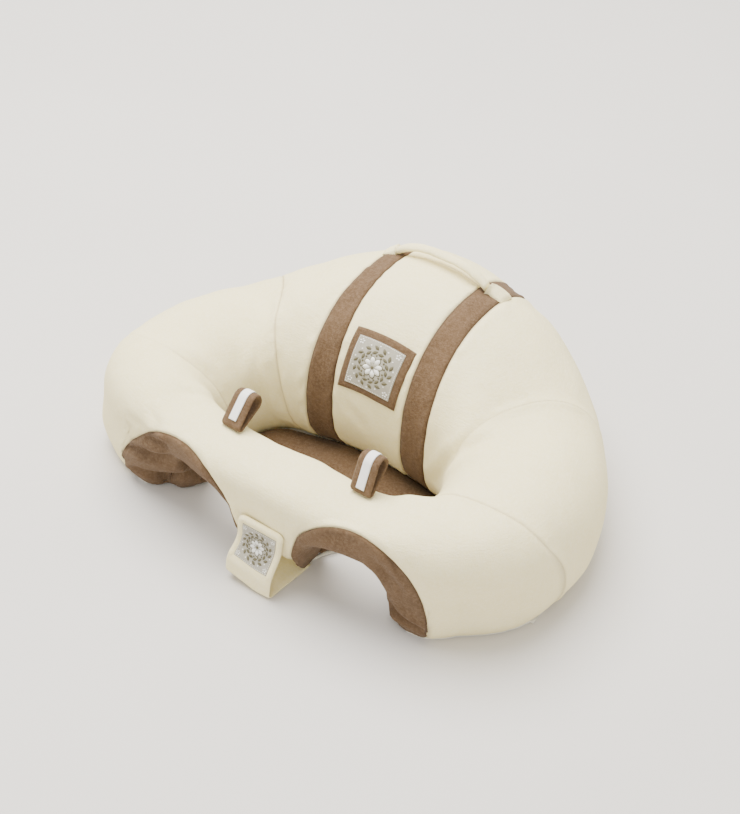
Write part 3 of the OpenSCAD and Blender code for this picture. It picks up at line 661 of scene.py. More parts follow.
# --- the covers
def tuck(p, seam, ends=(0, -1), reach=9.0):
    """Turns a cover's lower edges in under the ring, along the floor."""
    rows, seams = [p], [seam]
    for row in ends:
        edge = p[:, row]
        inward = edge - p[:, 1 if row == 0 else -2]
        inward[..., 2] = 0
        low = (1 - ramp((edge[:, 2] - FLOOR_Z - 0.2) / 3))[:, None]
        inward = unit(inward) * low
        new = np.stack([edge + inward * reach * k for k in (0.35, 1.0)], 1)
        new[..., 2] -= low * (new[..., 2] - FLOOR_Z + 0.05)
        new -= (1 - low)[:, None] * grid_normals(p)[:, row][:, None] * np.array([0.3, 0.9])[None, :, None]
        at = 0 if row == 0 else len(rows)
        rows.insert(at, new if row else new[:, ::-1])
        seams.insert(at, np.zeros(new.shape[:2]))
    return np.concatenate(rows, 1), np.concatenate(seams, 1)


def back_cover(name, low, high, t0, t1, step=4.2):
    """A cover between two seams across the back; low and high give each seam's angle at v."""
    mid = 0.5 * (low(90.0) + high(90.0))
    share = np.linspace(t0, t1, 200)
    v = lerp(outer_edge(mid), well_edge(mid), share)
    way = np.linalg.norm(np.diff(plain_point(mid, v), axis=0), axis=1)
    way = np.concatenate([[0], np.cumsum(way)])
    t = np.interp(stations(way[-1], step), way / way[-1], share)
    row = plain_point(np.linspace(low(90.0), high(90.0), 60), 60.0)
    s = stations(np.linalg.norm(np.diff(row, axis=0), axis=1).sum(), step)
    s, t = np.meshgrid(s, t, indexing="ij")
    v = lerp(outer_edge(60.0), well_edge(60.0), t)
    for _ in range(4):
        a = lerp(low(v), high(v), s)
        v = lerp(outer_edge(a), well_edge(a), t)
    ends = [row for row, at_floor in ((0, t0 == 0.0), (-1, t1 == 1.0)) if at_floor]
    return shell(name, *tuck(*dress(a, v), ends))


def far(seam):
    """The same seam on the left side."""
    return lambda v: 180 - seam(v)


def stripe_inner(v):
    return stripe_edge(v, -1)


def stripe_outer(v):
    return stripe_edge(v, 1)


RIM_SHARE = (RIM - outer_edge(90.0)) / (well_edge(90.0) - outer_edge(90.0))
for name, low, high, cloth, node, t0, t1 in (
        ("back_centre_cover", stripe_inner, far(stripe_inner), CREAM, "back_centre_panel", RIM_SHARE, 1.0),
        ("rear_centre_cover", stripe_inner, far(stripe_inner), CREAM, "rear_centre_panel", 0.0, RIM_SHARE),
        ("right_stripe_cover", stripe_outer, stripe_inner, BROWN, "right_stripe", 0.0, 1.0),
        ("left_stripe_cover", far(stripe_inner), far(stripe_outer), BROWN, "left_stripe", 0.0, 1.0),
        ("right_wing_cover", wing_seam, stripe_outer, CREAM, "right_wing_panel", 0.0, 1.0),
        ("left_wing_cover", far(stripe_outer), far(left_wing), CREAM, "left_wing_panel", 0.0, 1.0),
        ("right_arm_cover", arm_seam, wing_seam, CREAM, "right_arm_panel", 0.0, 1.0),
        ("left_arm_cover", far(left_wing), left_seam, CREAM, "left_arm_panel", 0.0, 1.0)):
    dress_piece(back_cover(name, low, high, t0, t1), cloth, node, fill=0.85)


def side_stations(x0, x1, step=3.4):
    """x places from x0 to x1, crowding towards both ends, where a seam runs steeply."""
    n = int((x1 - x0) / step) + 6
    t = 0.5 - 0.5 * np.cos(np.pi * np.linspace(0, 1, n))
    t = lerp(t, np.linspace(0, 1, n), 0.15)
    return x0 + (x1 - x0) * t


def front_cover():
    """The front's grid of (a, v), bent so that it ends on both arm seams."""
    angles = front_angle(np.concatenate([np.linspace(0, FX0, 9)[1:-1], side_stations(FX0, FX1)]))
    right = np.concatenate([angles, np.linspace(angles[-1], 360, 26)[1:]])
    a = np.concatenate([540 - right[::-1], [270], right])
    t = stations(330, 4.0)[None]
    a = a[:, None] + 0 * t
    right_part, left_part = (np.clip((k - angles[-1]) / (360 - angles[-1]), 0, 1) ** 2 for k in (a, 540 - a))
    low, high = face_seam(a).min(), lining_seam(a).max()
    bent = a
    for _ in range(4):
        v0, v1 = face_seam(bent), lining_seam(bent)
        v = lerp(np.clip(lerp(low, high, t), v0, v1), lerp(v0, v1, t), 0.55)
        bent = a + right_part * arm_seam(v) + left_part * (left_seam(v) - 180)
    return bent, v


dress_piece(shell("front_cover", *tuck(*dress(*front_cover()))), CREAM, "front_panel", fill=0.85)


def finer(grid):
    """A grid of points twice as fine both ways, on a smooth surface through the same points."""
    for axis in (0, 1):
        g = np.moveaxis(grid, axis, 0)
        wide = np.concatenate([2 * g[:1] - g[1:2], g, 2 * g[-1:] - g[-2:-1]])
        middle = (9 * (g[:-1] + g[1:]) - wide[:-3] - wide[3:]) / 16
        out = np.empty((2 * len(g) - 1,) + g.shape[1:])
        out[::2], out[1::2] = g, middle
        grid = np.moveaxis(out, 0, axis)
    return grid


# The inner corner of the lining on the left side, where the fleece lies in a soft bend
LINING_CORNER = [(-152, -168, 92), (-158, -156, 66), (-167, -149, 39), (-173, -145, 20), (-175, -145, 6)]


def lining(name, side):
    """A leg opening's lining, from the face seam up through the opening to the well seam."""
    a = np.sort(front_angle(side * side_stations(FX0, FX1, 2.4)))
    v0, v1 = lining_seam(a), 360 + face_seam(a)
    t = stations(230, 3.6)
    v = lerp(v0[:, None], v1[:, None], t[None])
    p, seam = dress(a[:, None] + 0 * v, v)
    for mirror, strength in ((1, 0.7), (-1, 0.42)):
        d = segment_distance(p * np.array([mirror, 1, 1]), LINING_CORNER)[0]
        height = ramp((p[1:-1, 1:-1, 2:] - FLOOR_Z - 8) / 26)
        soft = (1 - ramp((d - 12) / 22))[1:-1, 1:-1, None] * strength * height
        for _ in range(70):
            near = (p[2:, 1:-1] + p[:-2, 1:-1] + p[1:-1, 2:] + p[1:-1, :-2]) / 4
            p[1:-1, 1:-1] = lerp(p[1:-1, 1:-1], near, soft)
    p, seam = finer(p), finer(seam[..., None])[..., 0]
    inset = np.minimum(np.arange(p.shape[1]), np.arange(p.shape[1])[::-1]) / 8
    low = ramp((p[..., 2] - FLOOR_Z - 4) / 12)
    p = p + grid_normals(p) * (low * ramp(inset) * crease(p, LINING_SWELLS))[..., None]
    sight = (p - EYE) @ EYE_AXES.T
    across = sight[..., :2] / -sight[..., 2:] * SIGHT
    n = grid_normals(p)
    seen = ramp((n @ EYE_AXES[2]) / 0.25) * ramp((np.abs(p[..., 0]) - 124) / 14)
    low = ramp((p[..., 2] - FLOOR_Z - 7) / 14)
    p = p + n * (seen * low * ramp(inset) * crease(across, LINING_PLEATS))[..., None]
    p[..., 2] = np.maximum(p[..., 2], FLOOR_Z)
    return shell(name, p, seam)


for side, word in ((-1, "left"), (1, "right")):
    dress_piece(lining(f"{word}_leg_lining", side), BROWN, f"{word}_leg_facing", fill=0.7)


# --- stuffing, base and seat
def stuffing(name, angles, node, depth=6.2, low=FLOOR_Z):
    """A length of the ring's stuffing, depth mm under the fleece."""
    turn = np.linspace(0, 360, 49)[:-1]
    v = np.where(turn > 240, turn - 360, turn)
    a, v = np.meshgrid(angles, v, indexing="ij")
    p = plain_point(a, v)
    q = p - plain_normal(a, v) * (depth - 0.5 * lump(p))[..., None]
    q[..., 2] = np.where(p[..., 2] > FLOOR_Z, np.maximum(q[..., 2], low), low)
    dress_piece(tube(name, q), WADDING, node, fill=0.9)


stuffing("back_stuffing", np.linspace(37.3, 142.7, 60), "back_filling")
stuffing("right_arm_stuffing", np.linspace(0.3, 36.7, 24), "right_arm_filling")
stuffing("left_arm_stuffing", np.linspace(143.3, 179.7, 24), "left_arm_filling")
x = np.concatenate([np.linspace(6, 36, 5), np.linspace(46, 138, 14), np.linspace(141, 190, 15)])
right = np.concatenate([front_angle(x), np.linspace(front_angle(FX1), 359.7, 12)])
stuffing("bar_stuffing", np.concatenate([540 - right[::-1], [270], right]), "bar_filling", 13.0, FLOOR_Z + 4.0)

# The leg cut-outs of the base and the seat: middle, half width, place and depth; the base's front edge
CUT_X, CUT_HALF, CUT_Y, CUT_DEPTH = 92.0, 71.0, -175.0, 85.0
BASE_FRONT = -147.0
SEAT_MIDDLE = np.array([0.0, RING_Y + 12])
# The seat's underside, its crown, its highest lump, its gap to the wall, and its front edge
SEAT_LOW, SEAT_CROWN, SEAT_TOP, SEAT_GAP, SEAT_FRONT = 3.6, 19.8, 21.0, 0.8, -134.0


def cut_edge(x):
    return CUT_Y + CUT_DEPTH * rounded((np.abs(x) - CUT_X) / CUT_HALF, 2)


def on_floor(p):
    """Moves a piece that lies in or under the ring as the ring's foot has slid."""
    q = slump(np.concatenate([p[..., :2], 0 * p[..., 2:] + FLOOR_Z], -1))
    q[..., 2] = p[..., 2]
    return q


def base_cover():
    """The quilted base: columns across, from its front edge to the rear of the ring."""
    x = np.linspace(-262, 262, 175)

    def ring_edge(a):
        """Where the ring's foot lies at each x."""
        foot = even_point(a, outer_edge(a))
        return np.interp(x, foot[:, 0], foot[:, 1])

    rear_y, front_y = ring_edge(np.linspace(178, 2, 400)), ring_edge(np.linspace(182, 358, 500))
    cut = np.maximum(cut_edge(x), np.where(np.abs(x) < OX0, BASE_FRONT, -400))
    front_y = np.where(np.abs(x) < CUT_X + CUT_HALF, np.maximum(front_y, cut), front_y)
    t = stations(300, 4.5)
    y = lerp(front_y[:, None] + 1, rear_y[:, None] - 1, t[None])
    x = x[:, None] + 0 * y
    quilt = np.minimum(np.abs(((x + y) / 42) % 1 - 0.5), np.abs(((x - y) / 42) % 1 - 0.5)) * 42
    dip = 1 - bell(quilt, 3.0)
    puff = dip * ramp(np.minimum(t, 1 - t)[None] * 60)
    upper = np.stack([x, y, 1.6 + 1.25 * puff], -1)
    lower = np.stack([x, y, 0.9 - 0.85 * puff], -1)
    return shell("base_cover", on_floor(upper), 1 - dip, on_floor(lower))


dress_piece(base_cover(), QUILT, "base_panel", fill=0.3)


def seat_outline():
    """The seat's edge on the floor: along the well's wall, then in front with a tongue under the post."""
    turn = np.linspace(0, 180, 120)
    wall = plain_point(turn, 180 - angle_at_z(turn, 9.3))[:, :2]
    rear = wall - unit(wall - SEAT_MIDDLE) * SEAT_GAP
    x = np.linspace(6 - rear[0, 0], rear[0, 0] - 6, 110)
    under_post = RING_Y - WELL_F + 2 - 60 * ramp((np.abs(x) - 17) / 5)
    front = np.stack([x, np.maximum(np.maximum(under_post, SEAT_FRONT), cut_edge(x) + 2), 0 * x], -1)
    return np.concatenate([rear, on_floor(front)[:, :2]])


SEAT_EDGE = seat_outline()


def seat_cushion():
    """The seat's pad: rings from its crown out to the edge, and back in below."""
    shares = np.concatenate([np.linspace(0, 0.9, 20)[1:], [0.93, 0.96, 0.98, 0.992, 1.0]])
    crown = SEAT_CROWN - 8.3 * shares**2 + 6 * (np.minimum(1, (1 - shares) / 0.03) ** 0.5 - 1)
    rings = []
    for share, z in zip(np.concatenate([shares, shares[::-1]]), np.concatenate([crown, SEAT_LOW + 0 * shares])):
        ring = SEAT_MIDDLE + (SEAT_EDGE - SEAT_MIDDLE) * share
        rings.append(np.column_stack([ring, np.full(len(ring), z)]))
    return tube("seat_cushion", rings, [(*SEAT_MIDDLE, SEAT_CROWN), (*SEAT_MIDDLE, SEAT_LOW)])


def points_of(obj):
    return np.array([v.co for v in obj.data.vertices]) / MM


def move_points(obj, points):
    obj.data.vertices.foreach_set("co", (points * MM).ravel().astype(np.float32))


def swell_seat(obj, pressure=2.0, most=3.0, let_out=3.0, frames=20):
    """Swells the pad as cloth under pressure, no point more than most mm, and then lets its edge
    out by let_out mm, so that it reaches the well's wall."""
    pick(obj)
    remesh = obj.modifiers.new("remesh", "REMESH")
    remesh.mode, remesh.voxel_size = "VOXEL", 0.005
    bpy.ops.object.modifier_apply(modifier=remesh.name)
    before = points_of(obj)
    cloth = obj.modifiers.new("cloth", "CLOTH")
    for key, value in (("use_pressure", True), ("uniform_pressure_force", pressure), ("mass", 0.3),
                       ("tension_stiffness", 12), ("compression_stiffness", 8), ("bending_stiffness", 0.3)):
        setattr(cloth.settings, key, value)
    cloth.settings.effector_weights.gravity = 0
    cloth.point_cache.frame_start, cloth.point_cache.frame_end = 1, frames
    for f in range(1, frames + 1):
        scene.frame_set(f)
    swollen = obj.evaluated_get(bpy.context.evaluated_depsgraph_get())
    move = points_of(swollen) - before
    obj.modifiers.remove(cloth)
    scene.frame_set(1)
    size = np.linalg.norm(move, axis=1, keepdims=True)
    move_points(obj, before + move * np.minimum(1, most / np.maximum(size, 1e-6)))
    smoother = obj.modifiers.new("subdivision", "SUBSURF")
    smoother.levels = smoother.render_levels = 1
    bpy.ops.object.modifier_apply(modifier=smoother.name)
    obj.data.polygons.foreach_set("use_smooth", [True] * len(obj.data.polygons))
    co = points_of(obj)
    d = segment_distance(co[:, :2], SEAT_EDGE)[0]
    co[:, :2] += unit(co[:, :2] - SEAT_MIDDLE) * let_out * (1 - ramp((d - 3) / 9))[:, None]
    move_points(obj, co)


seat = seat_cushion()
swell_seat(seat)
co = points_of(seat)
co[:, 2] += np.where(co[:, 2] > 6, 0.8 * lump(co * np.array([1, 1, 0.3]) + 40), 0)
co[:, 2] = np.clip(co[:, 2], SEAT_LOW - 0.1, SEAT_TOP)
move_points(seat, co)
dress_piece(seat, BROWN, "seat_panel", "seat_wadding", fill=0.5)


# --- carry handle
# Half the way between the stitched ends, the tube's thickness and rise, and its middle over the rim
HANDLE_X, HANDLE_THICK, HANDLE_RISE = 58.0, 13.0, 17.5
HANDLE_CLEAR = 0.4 * HANDLE_THICK + 2 * LAYER
HANDLE_AXIS = plain_point(rear_angle(HANDLE_X), RIM) + np.array([0, 0, HANDLE_CLEAR])


def handle_tube():
    """The stuffed tube, which bows up between its stitched ends, with its seam behind."""
    s, t = np.meshgrid(np.linspace(1, -1, 61), np.linspace(0, 2 * math.pi, 33)[:-1], indexing="ij")
    full = 1 - np.abs(s) ** 4
    rise = HANDLE_RISE * (1 - np.abs(s) ** 2.8)
    slope = 2.8 * HANDLE_RISE * np.abs(s) ** 1.8 / HANDLE_X
    uneven = 0.18 * np.sin(9 * s + 2 * t) + 0.12 * np.sin(23 * s + t) - 0.9 * bell(t - 4.1, 0.16)
    y = HANDLE_AXIS[1] + (lerp(10.4, 12.4, full) / 2 + uneven) * np.cos(t)
    z = HANDLE_AXIS[2] + rise + (lerp(8.6, 7.6, full) / 2 + uneven) * np.sin(t) * np.sqrt(1 + slope**2)
    return tube("carry_handle_tube", np.stack([s * HANDLE_X, y, z], -1))


dress_piece(handle_tube(), CREAM, "carry_handle", body="handle", fill=0.6)


def handle_end(name, side):
    """A flattened end of the handle's tube, which widens over the stripe to its outer seam."""
    length, degrees = 20.5, 360 / math.pi / float(outer_y(90.0) - inner_y(90.0))
    s, t = np.meshgrid(1 - stations(length, 0.9, (0.3, 0.8)), np.sin(np.linspace(-1, 1, 29) * math.pi / 2),
                       indexing="ij")
    x = HANDLE_X + 0.1 + length * (1 - s)
    half = 11.3 - 4.8 * ramp((s - 0.5) / 0.5) + 0.3 * np.sin(9 * s)
    a = rear_angle(side * x)
    v = RIM + degrees * (t * half - 2 * ramp((1 - s) / 0.2) - 10.0 * (1 - s) ** 0.6)
    p, n = plain_point(a, v), plain_normal(a, v)
    swell = 4.2 + (2 * HANDLE_CLEAR - 5.2) * s ** 1.3
    full = (1 - np.abs(t) ** 2.6) ** 0.5
    gathers = 0.45 * np.sin(5 * t + 3 * s) * s + 0.3 * np.cos(11 * t + 2 * s)
    # the stitched seam across the end: it dents the cloth, and half its weight is painted shade there
    seam = bell(s - 0.14, 0.05)
    up = LAYER + 0.1 + full * (swell * (1 - 0.9 * bell(s, 0.07)) + gathers - 0.6 * seam)
    return shell(name, p + n * up[..., None], seam * 0.5, p + n * LAYER)


for side, word in ((-1, "left"), (1, "right")):
    dress_piece(handle_end(f"{word}_handle_end_patch", side), CREAM, f"{word}_handle_end", fill=0.3)


# --- toy loops
# A loop's outline: radii of its foot and its round end, the way between them, and its width
FOOT, RADIUS, LOOP_LENGTH, LOOP_WIDTH = 5.0, 10.5, 29.0, 25.0
LOOP_V, BAND, RIBBON_WIDTH = 106.0, 3.2, 10.0


def drop_path(big, small, length, step=1.2):
    """A drop's outline, counter-clockwise from its foot's right side: (y, z) before the lean."""
    side = math.degrees(math.asin((big - small) / length))
    top = [(big * cosd(t), length + big * sind(t)) for t in np.linspace(-side, 180 + side, 40)]
    foot = [(small * cosd(t), small * sind(t)) for t in np.linspace(180 + side, 360 - side, 20)]
    top, foot = np.array(top), np.array(foot)
    rise = np.linspace(0, 1, int(length / step))[1:-1, None]
    return np.concatenate([lerp(foot[-1], top[0], rise), top, lerp(top[-1], foot[0], rise), foot])


def band(name, x, lean, axis, outline, width, thick, rows, swell=0.0, wobble=0.0, loop=True):
    """A band along a drop's outline, with rounded edges, leaning back from the bar."""
    d = unit(np.roll(outline, -1, 0) - np.roll(outline, 1, 0) if loop else np.gradient(outline, axis=0))
    normal = np.stack([d[:, 1], -d[:, 0]], -1)
    t = np.linspace(-1, 1, rows)
    half = thick / 2 * (1 - np.abs(t) ** 6) ** (1 / 3) + swell * (1 - t * t)
    u = np.concatenate([t, t[-2:0:-1]]) * width / 2
    h = np.concatenate([half, -half[-2:0:-1]])
    turn = 2 * math.pi * np.arange(len(outline))[:, None] / len(outline)
    q = outline[:, None] + normal[:, None] * (h + wobble * np.sin(2.1 * turn + u * 0.12))[..., None]
    y, z, c, s = q[..., 0], q[..., 1], cosd(-lean), sind(-lean)
    rings = np.stack([x + u + 0 * y, axis[1] + y * c - z * s, axis[2] + y * s + z * c], -1)
    return tube(name, rings, loop=loop)


# Each loop's place, its lean, how high its foot lies over the bar, and where its ribbon ends
for word, x, lean, lift, ribbon_end in (("right", 90.0, 39.0, FOOT + 2.5 * LAYER, -0.5),
                                        ("left", -75.0, 58.0, FOOT + 0.4 * LAYER, 1.5)):
    a = front_angle(np.array(x))
    axis = plain_point(a, LOOP_V) + plain_normal(a, LOOP_V, 0.1, 0.5) * lift
    outline = drop_path(RADIUS - BAND / 2, FOOT - 1.7, LOOP_LENGTH)
    loop = band(f"{word}_toy_loop_band", x, lean, axis, outline, LOOP_WIDTH - 0.4, BAND, 17, 0.05, 0.25)
    dress_piece(loop, BROWN, f"{word}_toy_loop", body=f"{word}_loop")
    outline = drop_path(RADIUS + 0.6, FOOT + 0.6, LOOP_LENGTH)
    outline = np.roll(outline, -int(outline[:, 1].argmin()), 0)
    outline = outline[outline[:, 1] > ribbon_end]
    ribbon = band(f"{word}_toy_loop_ribbon", x, lean, axis, outline, RIBBON_WIDTH, 0.8, 9, loop=False)
    dress_piece(ribbon, RIBBON, f"{word}_toy_ribbon", body=f"{word}_loop")


# --- the patch on the back
PATCH, BORDER, PATCH_Z = 75.0, 8.5, 124.0
patch_low = 180 - float(angle_at_z(90.0, PATCH_Z))
PATCH_UPS = np.linspace(0, PATCH, 31)


def up_the_back(start, way):
    """The turn v that lies this way (mm) up the back from the start."""
    v, left = start, way
    while left > 0:
        left -= float(np.linalg.norm(plain_point(90.0, v) - plain_point(90.0, v - 0.25)))
        v -= 0.25
    return v


V_OF = np.array([up_the_back(patch_low, w) for w in PATCH_UPS])


def patch_point(across, up, out):
    """A point on the back at across mm from the middle and up mm above the patch's lower edge."""
    v = np.interp(up * 0.94, PATCH_UPS, V_OF)
    a = rear_angle(across + 0.07 * (up - 22))
    p = plain_point(a, v)
    n = plain_normal(a, v)
    return p + n * (out + lump(p) + crease(p))[..., None]


def patch_sheet(name, margin, low, high, round_edge, wave, puff):
    """A square sheet on the back, margin mm smaller than the patch, between two heights over the fleece."""
    half = PATCH / 2 - margin
    u = np.concatenate([[-half, -half + 0.6, -half + 1.4], np.linspace(-half + 2.6, half - 2.6, 44),
                        [half - 1.4, half - 0.6, half]])
    across, up = np.meshgrid(u[::-1], PATCH / 2 + u, indexing="ij")
    edge = np.minimum(half - np.abs(across), half - np.abs(up - PATCH / 2))
    thick = (high - low) * (1 - round_edge * bell(edge, 0.9))
    waves_up = wave * np.sin(across / 5.3 + 1) * np.sin(up / 6.1) * (edge > 2)
    top = low + thick + waves_up + puff * bell(edge - 4.2, 2.4)
    return shell(name, patch_point(across, up, top), 0 * up, patch_point(across, up, low + 0 * up))


dress_piece(patch_sheet("back_patch_cloth", 0.0, 1.0, 2.6, 0.75, 0.25, 0.35), BROWN, "back_patch_border")
dress_piece(patch_sheet("back_patch_print", BORDER, 2.8, 3.5, 0.5, 0.06, 0.0), PRINT, "back_patch")


def polar(r, turn):
    return r * math.cos(turn), r * math.sin(turn)


def flower(size, petals=5, wide=0.5):
    """A daisy's petals as flat outlines round its middle."""
    shapes = []
    for k in range(petals):
        turn = 2 * math.pi * k / petals + 0.3
        shapes.append([polar(0.25 * size, turn)]
                      + [polar(size * (0.62 + 0.38 * math.cos(s * math.pi / 2)), turn + wide * s)
                         for s in np.linspace(-1, 1, 9)])
    return shapes


def disc(radius, count):
    return [polar(radius, t) for t in np.linspace(0, 2 * math.pi, count + 1)[:-1]]


def leaf(length, width, turn):
    t = np.linspace(0, 1, 8)
    t, side = np.concatenate([t, t[-2:0:-1]]), np.repeat([1, -1], [8, 6])
    x, y, c, s = length * t, side * width * np.sin(math.pi * t), math.cos(turn), math.sin(turn)
    return list(zip(x * c - y * s, x * s + y * c))


def motif(size):
    """A plain daisy in a wreath of leaves and dots: white shapes and olive ones, with their places."""
    white = [(petal, (0.0, 0.0)) for petal in flower(size * 1.25, 8, 0.4)]
    olive = [(disc(size * 0.2, 18), (0.0, 0.0))]
    for k in range(14):
        turn = 2 * math.pi * (k + 0.5) / 14
        for way, lean in ((1.95, 0.5), (2.15, -0.5)):
            olive.append((leaf(size * 0.78, size * 0.2, turn + math.pi / 2 + lean), polar(way * size, turn)))
        olive.append((disc(size * 0.13, 10), polar(1.5 * size, turn)))
        white.append((disc(size * 0.1, 10), polar(2.62 * size, turn)))
    for x, y in ((-1, -1), (1, -1), (1, 1), (-1, 1)):
        white += [(petal, (x * 2.45 * size, y * 2.45 * size)) for petal in flower(size * 0.36)]
    return white, olive


def printed_shapes(name, shapes, place, lift, cloth):
    """Printed shapes as thin plates on a cloth; place maps (x, y, lift) to 3-D."""
    flat, faces = [], []
    for outline, centre in shapes:
        start, n = len(flat), len(outline)
        flat += [np.mean(outline, 0) + centre] + [np.add(p, centre) for p in outline]
        faces += [[start, start + 1 + k, start + 1 + (k + 1) % n] for k in range(n)]
    (x, y), under = np.transpose(flat), len(flat)
    sides = [[a, b, b + under, a + under] for _, a, b in faces]
    faces = faces + [[k + under for k in f[::-1]] for f in faces] + sides
    points = np.concatenate([place(x, y, lift), place(x, y, lift - 0.2)])
    dress_piece(closed(make(name, points, faces)), cloth)


def printed_motif(name, size, outline_size, place, lifts):
    """The daisy and its wreath, printed in three layers, each at its own lift."""
    white, olive = motif(size)
    dark = [(petal, (0.0, 0.0)) for petal in flower(outline_size, 8, 0.47)]
    for part, shapes, lift, cloth in zip(("daisy_outline", "petals", "leaves"), (dark, white, olive), lifts,
                                         (INK, WHITE_INK, INK)):
        printed_shapes(f"{name}_{part}", shapes, place, lift, cloth)


def stitches(name, half_x, half_y, place, lift, cloth, length, gap, width):
    """A row of thread stitches round a rectangle, lying on the cloth."""
    u, w = np.meshgrid([-1, -0.55, 0, 0.55, 1], [-1, 0, 1], indexing="ij")
    high = np.repeat([[0.0], [0.8], [1.0], [0.8], [0.0]], 3, 1)
    verts, faces = [], []
    corners = np.array([(-half_x, -half_y), (half_x, -half_y), (half_x, half_y), (-half_x, half_y)])
    for p0, p1 in zip(corners, np.roll(corners, -1, 0)):
        way = np.linalg.norm(p1 - p0)
        (dx, dy), count = (p1 - p0) / way, max(1, int(way / (length + gap)))
        along, aside = u * length / 2, w * width / 4 * (1 + high)
        for x, y in (lerp(p0, p1, (i + 0.5) / count) for i in range(count)):
            faces += [[o, o + 1, o + 4, o + 3] for o in (len(verts) + k for k in (0, 1, 3, 4, 6, 7, 9, 10))]
            stitch = [x + dx * along - dy * aside, y + dy * along + dx * aside, lift + 0.45 * high * (w == 0)]
            verts += np.stack(stitch, -1).reshape(-1, 3).tolist()
    dress_piece(closed(make(name, place(*np.transpose(verts)), faces)), cloth)


def on_back(x, y, lift):
    return patch_point(x, y + PATCH / 2, lift + 0 * x)


printed_motif("back_patch", 9.4, 12.9, on_back, (3.62, 3.7, 3.76))
for name, inset, lift, cloth, sizes in (("edge", BORDER + 1.3, 3.5, THREAD, (1.5, 0.7, 1.1)),
                                        ("border", 2.2, 2.4, BROWN_THREAD, (2.2, 1.5, 0.6))):
    half = PATCH / 2 - inset
    stitches(f"back_patch_{name}_stitch", half, half, on_back, lift, cloth, *sizes)


# --- the front loop and its patch
# The strap's thickness, the radius of its fold, and the sizes of its face and its printed patch
STRAP, fold_r = 2.4, 5.0
TAB_W, TAB_TOP, TAB_PW, TAB_PL, TAB_MARGIN = 58.0, 86.0, 44.0, 46.0, 9.0
tab_top = np.array([float(plain_point(270.0, angle_at_z(270.0, TAB_TOP))[1]) - LAYER - STRAP, TAB_TOP])
fold_mid = np.array([RING_Y - FRONT - 20 + fold_r, LAYER + STRAP / 2 + fold_r])
d = tab_top - fold_mid
tab_slope = math.degrees(math.atan2(d[1], d[0]) + math.acos(fold_r / np.linalg.norm(d)))
tab_foot = fold_mid + fold_r * np.array([cosd(tab_slope), sind(tab_slope)])
tab_run = float(np.linalg.norm(tab_top - tab_foot))
tab_mid = tab_run - TAB_MARGIN - TAB_PL / 2


def strap_run():
    """The strap's middle line from the base's edge, round the fold and up to the post's face."""
    back_run = np.linspace(BASE_FRONT - LAYER, fold_mid[0], 13)
    line = [np.array([y, LAYER + STRAP / 2]) for y in back_run[:-1]]
    line += [fold_mid + fold_r * np.array([cosd(t), sind(t)]) for t in np.linspace(270, tab_slope, 15)]
    line += [lerp(tab_foot, tab_top, t) for t in np.linspace(0, 1, 60)[1:]]
    line = np.array(line)
    way = np.concatenate([[0], np.cumsum(np.linalg.norm(np.diff(line, axis=0), axis=1))])
    d = unit(np.gradient(line, axis=0))
    return line, way, np.stack([-d[:, 1], d[:, 0]], -1)


STRAP_LINE, STRAP_WAY, STRAP_SIDE = strap_run()
FOOT_WAY = STRAP_WAY[-1] - tab_run


def strap_point(x, w, out):
    """A place on the strap: across it, along its run, and out from its middle layer. It hangs down
    the post, kicks out to its fold, and lies askew with the fold's left end off the floor."""
    x, w, out = np.broadcast_arrays(np.asarray(x, float), np.asarray(w, float), np.asarray(out, float))
    y, z, sy, sz = (np.interp(w, STRAP_WAY, c) for c in (*STRAP_LINE.T, *STRAP_SIDE.T))
    u = (w - FOOT_WAY) / tab_run
    side = x / (TAB_W / 2)
    bow = 3.4 * bell(u - 0.22, 0.16) - 4.2 * bell(u - 0.62, 0.2) \
        + 2.2 * side * bell(u - 0.48, 0.2)
    o = out + bow
    back = ramp(w / FOOT_WAY)
    skew = np.where(u > 0, lerp(-5.0, 4.5, np.clip(u, 0, 1)), -5.0 * back)
    lift = 8.0 * ramp((12 - x) / 41) * back * (1 - ramp(u / 0.8))
    return np.stack([x + skew, y + o * sy, z + o * sz + lift], -1)


def on_tab(x, up, out):
    """A point on the strap's sloping face: up is measured from the fold, out from its middle."""
    return strap_point(x, FOOT_WAY + up, out)


def front_loop_strap():
    """The strap, whose sides and top are rolled round the printed patch."""
    rows = np.concatenate([STRAP_WAY[:-2], STRAP_WAY[-1] - np.array([1.4, 0.9, 0.45, 0.15, 0.0])])
    w, across = np.meshgrid(rows, np.sin(np.linspace(-1, 1, 61) * math.pi / 2), indexing="ij")
    up = w - FOOT_WAY
    from_top = tab_run - up
    x = across * (TAB_W / 2 - 7 + np.sqrt(np.maximum(0, 49 - np.maximum(0, 7 - from_top) ** 2)))
    q = np.stack([np.abs(x) - 20.4, up - (tab_run - 8.6)], -1)
    d = np.linalg.norm(np.maximum(q, 0), axis=-1) + np.minimum(q.max(-1), 0) - 5
    roll = np.sqrt(np.maximum(0, 3.6**2 - d**2)) * ramp((up - (tab_mid - TAB_PL / 2 - TAB_MARGIN)) / 10)
    side = (1 - np.abs(across) ** 12) ** 0.5
    flat = 1.7 * side * np.minimum(1, from_top / 0.6 + 0.05)
    top = np.maximum(flat, roll) + 0.12 * np.sin(up / 3.1 + x / 4.7)
    below = (slice(None), slice(-2, 0, -1))
    under = strap_point(x[below], w[below], -1.25 * side[below])
    return tube("front_loop_strap", np.concatenate([strap_point(x, w, top), under], 1))


dress_piece(front_loop_strap(), CREAM, "front_loop")


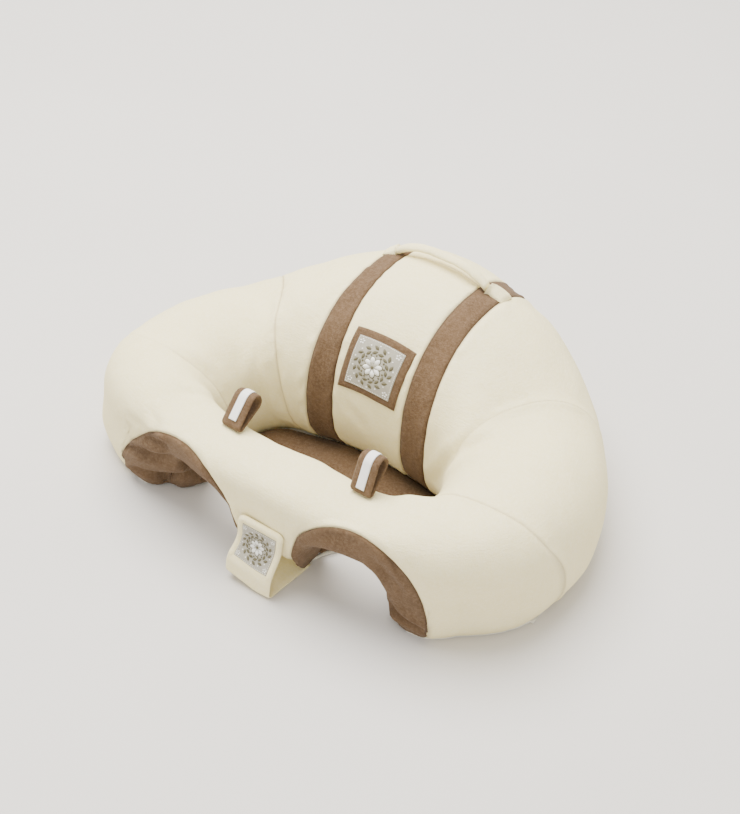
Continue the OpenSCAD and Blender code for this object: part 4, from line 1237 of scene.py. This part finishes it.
def tab_print():
    """The printed patch on the strap's face."""
    x, up = np.meshgrid(np.linspace(-TAB_PW / 2, TAB_PW / 2, 40), np.linspace(-TAB_PL / 2, TAB_PL / 2, 42),
                        indexing="ij")
    edge = np.minimum(TAB_PW / 2 - np.abs(x), TAB_PL / 2 - np.abs(up))
    wave = 0.06 * np.sin(x / 4.3) * np.sin(up / 5.7 + 1) * ramp(edge / 4)
    top = on_tab(x, tab_mid + up, STRAP / 2 + 1.25 + wave - 0.4 * bell(edge, 0.8))
    return shell("front_loop_print", top, 0 * x, on_tab(x, tab_mid + up, STRAP / 2 + 0.3))


def on_print(x, y, lift):
    return on_tab(x, tab_mid + y, STRAP / 2 + lift)


dress_piece(tab_print(), PRINT, "front_patch")
printed_motif("front_loop", 7.4, 10.2, on_print, (1.44, 1.5, 1.58))
stitches("front_loop_stitch", TAB_PW / 2 - 1.2, TAB_PL / 2 - 1.2, on_print, 1.25, THREAD, 1.5, 0.7, 1.0)


# --- floor, light and camera
mat, tree, shader = new_material("studio_floor")
mottle = curve(tree, noise(tree, own_place(tree), 3, 3), 0.3, 0.7)
fit(tree, shader, {"Base Color": mix(tree, mottle, (0.62, 0.592, 0.555), (0.60, 0.572, 0.535)),
                   "Roughness": 0.7, "Specular IOR Level": 0.2})
mesh = bpy.data.meshes.new("floor")
mesh.from_pydata([(-6, -6, 0), (6, -6, 0), (6, 6, 0), (-6, 6, 0)], [], [[0, 1, 2, 3]])
mesh.materials.append(mat)
floor = bpy.data.objects.new("floor", mesh)
scene.collection.objects.link(floor)

scene.world = world = scene.world or bpy.data.worlds.new("studio")
world.use_nodes = True
fit(world.node_tree, world.node_tree.nodes["Background"], {"Color": (1.0, 0.985, 0.955), "Strength": 1.55})


def area(name, place, target, size, power, colour):
    data = bpy.data.lights.new(name, "AREA")
    data.shape, data.size, data.energy, data.color = "DISK", size, power, colour
    obj = bpy.data.objects.new(name, data)
    scene.collection.objects.link(obj)
    obj.location = place
    obj.rotation_euler = (Vector(target) - Vector(place)).to_track_quat("-Z", "Y").to_euler()


area("key", (-0.7, 0.3, 2.6), (0, 0, 0.1), 2.4, 230, (1.0, 0.985, 0.96))
area("fill", (1.6, -1.8, 1.8), (0, 0, 0.1), 2.0, 6, (1.0, 0.99, 0.97))

lens = bpy.data.cameras.new("camera")
lens.sensor_width, lens.lens, lens.clip_start, lens.clip_end = 36, 65.76, 0.05, 50
camera = bpy.data.objects.new("camera", lens)
scene.collection.objects.link(camera)
camera.matrix_world = Matrix.Translation(EYE * MM) @ Matrix(EYE_AXES.tolist()).transposed().to_4x4()
scene.camera = camera

bpy.context.view_layer.update()
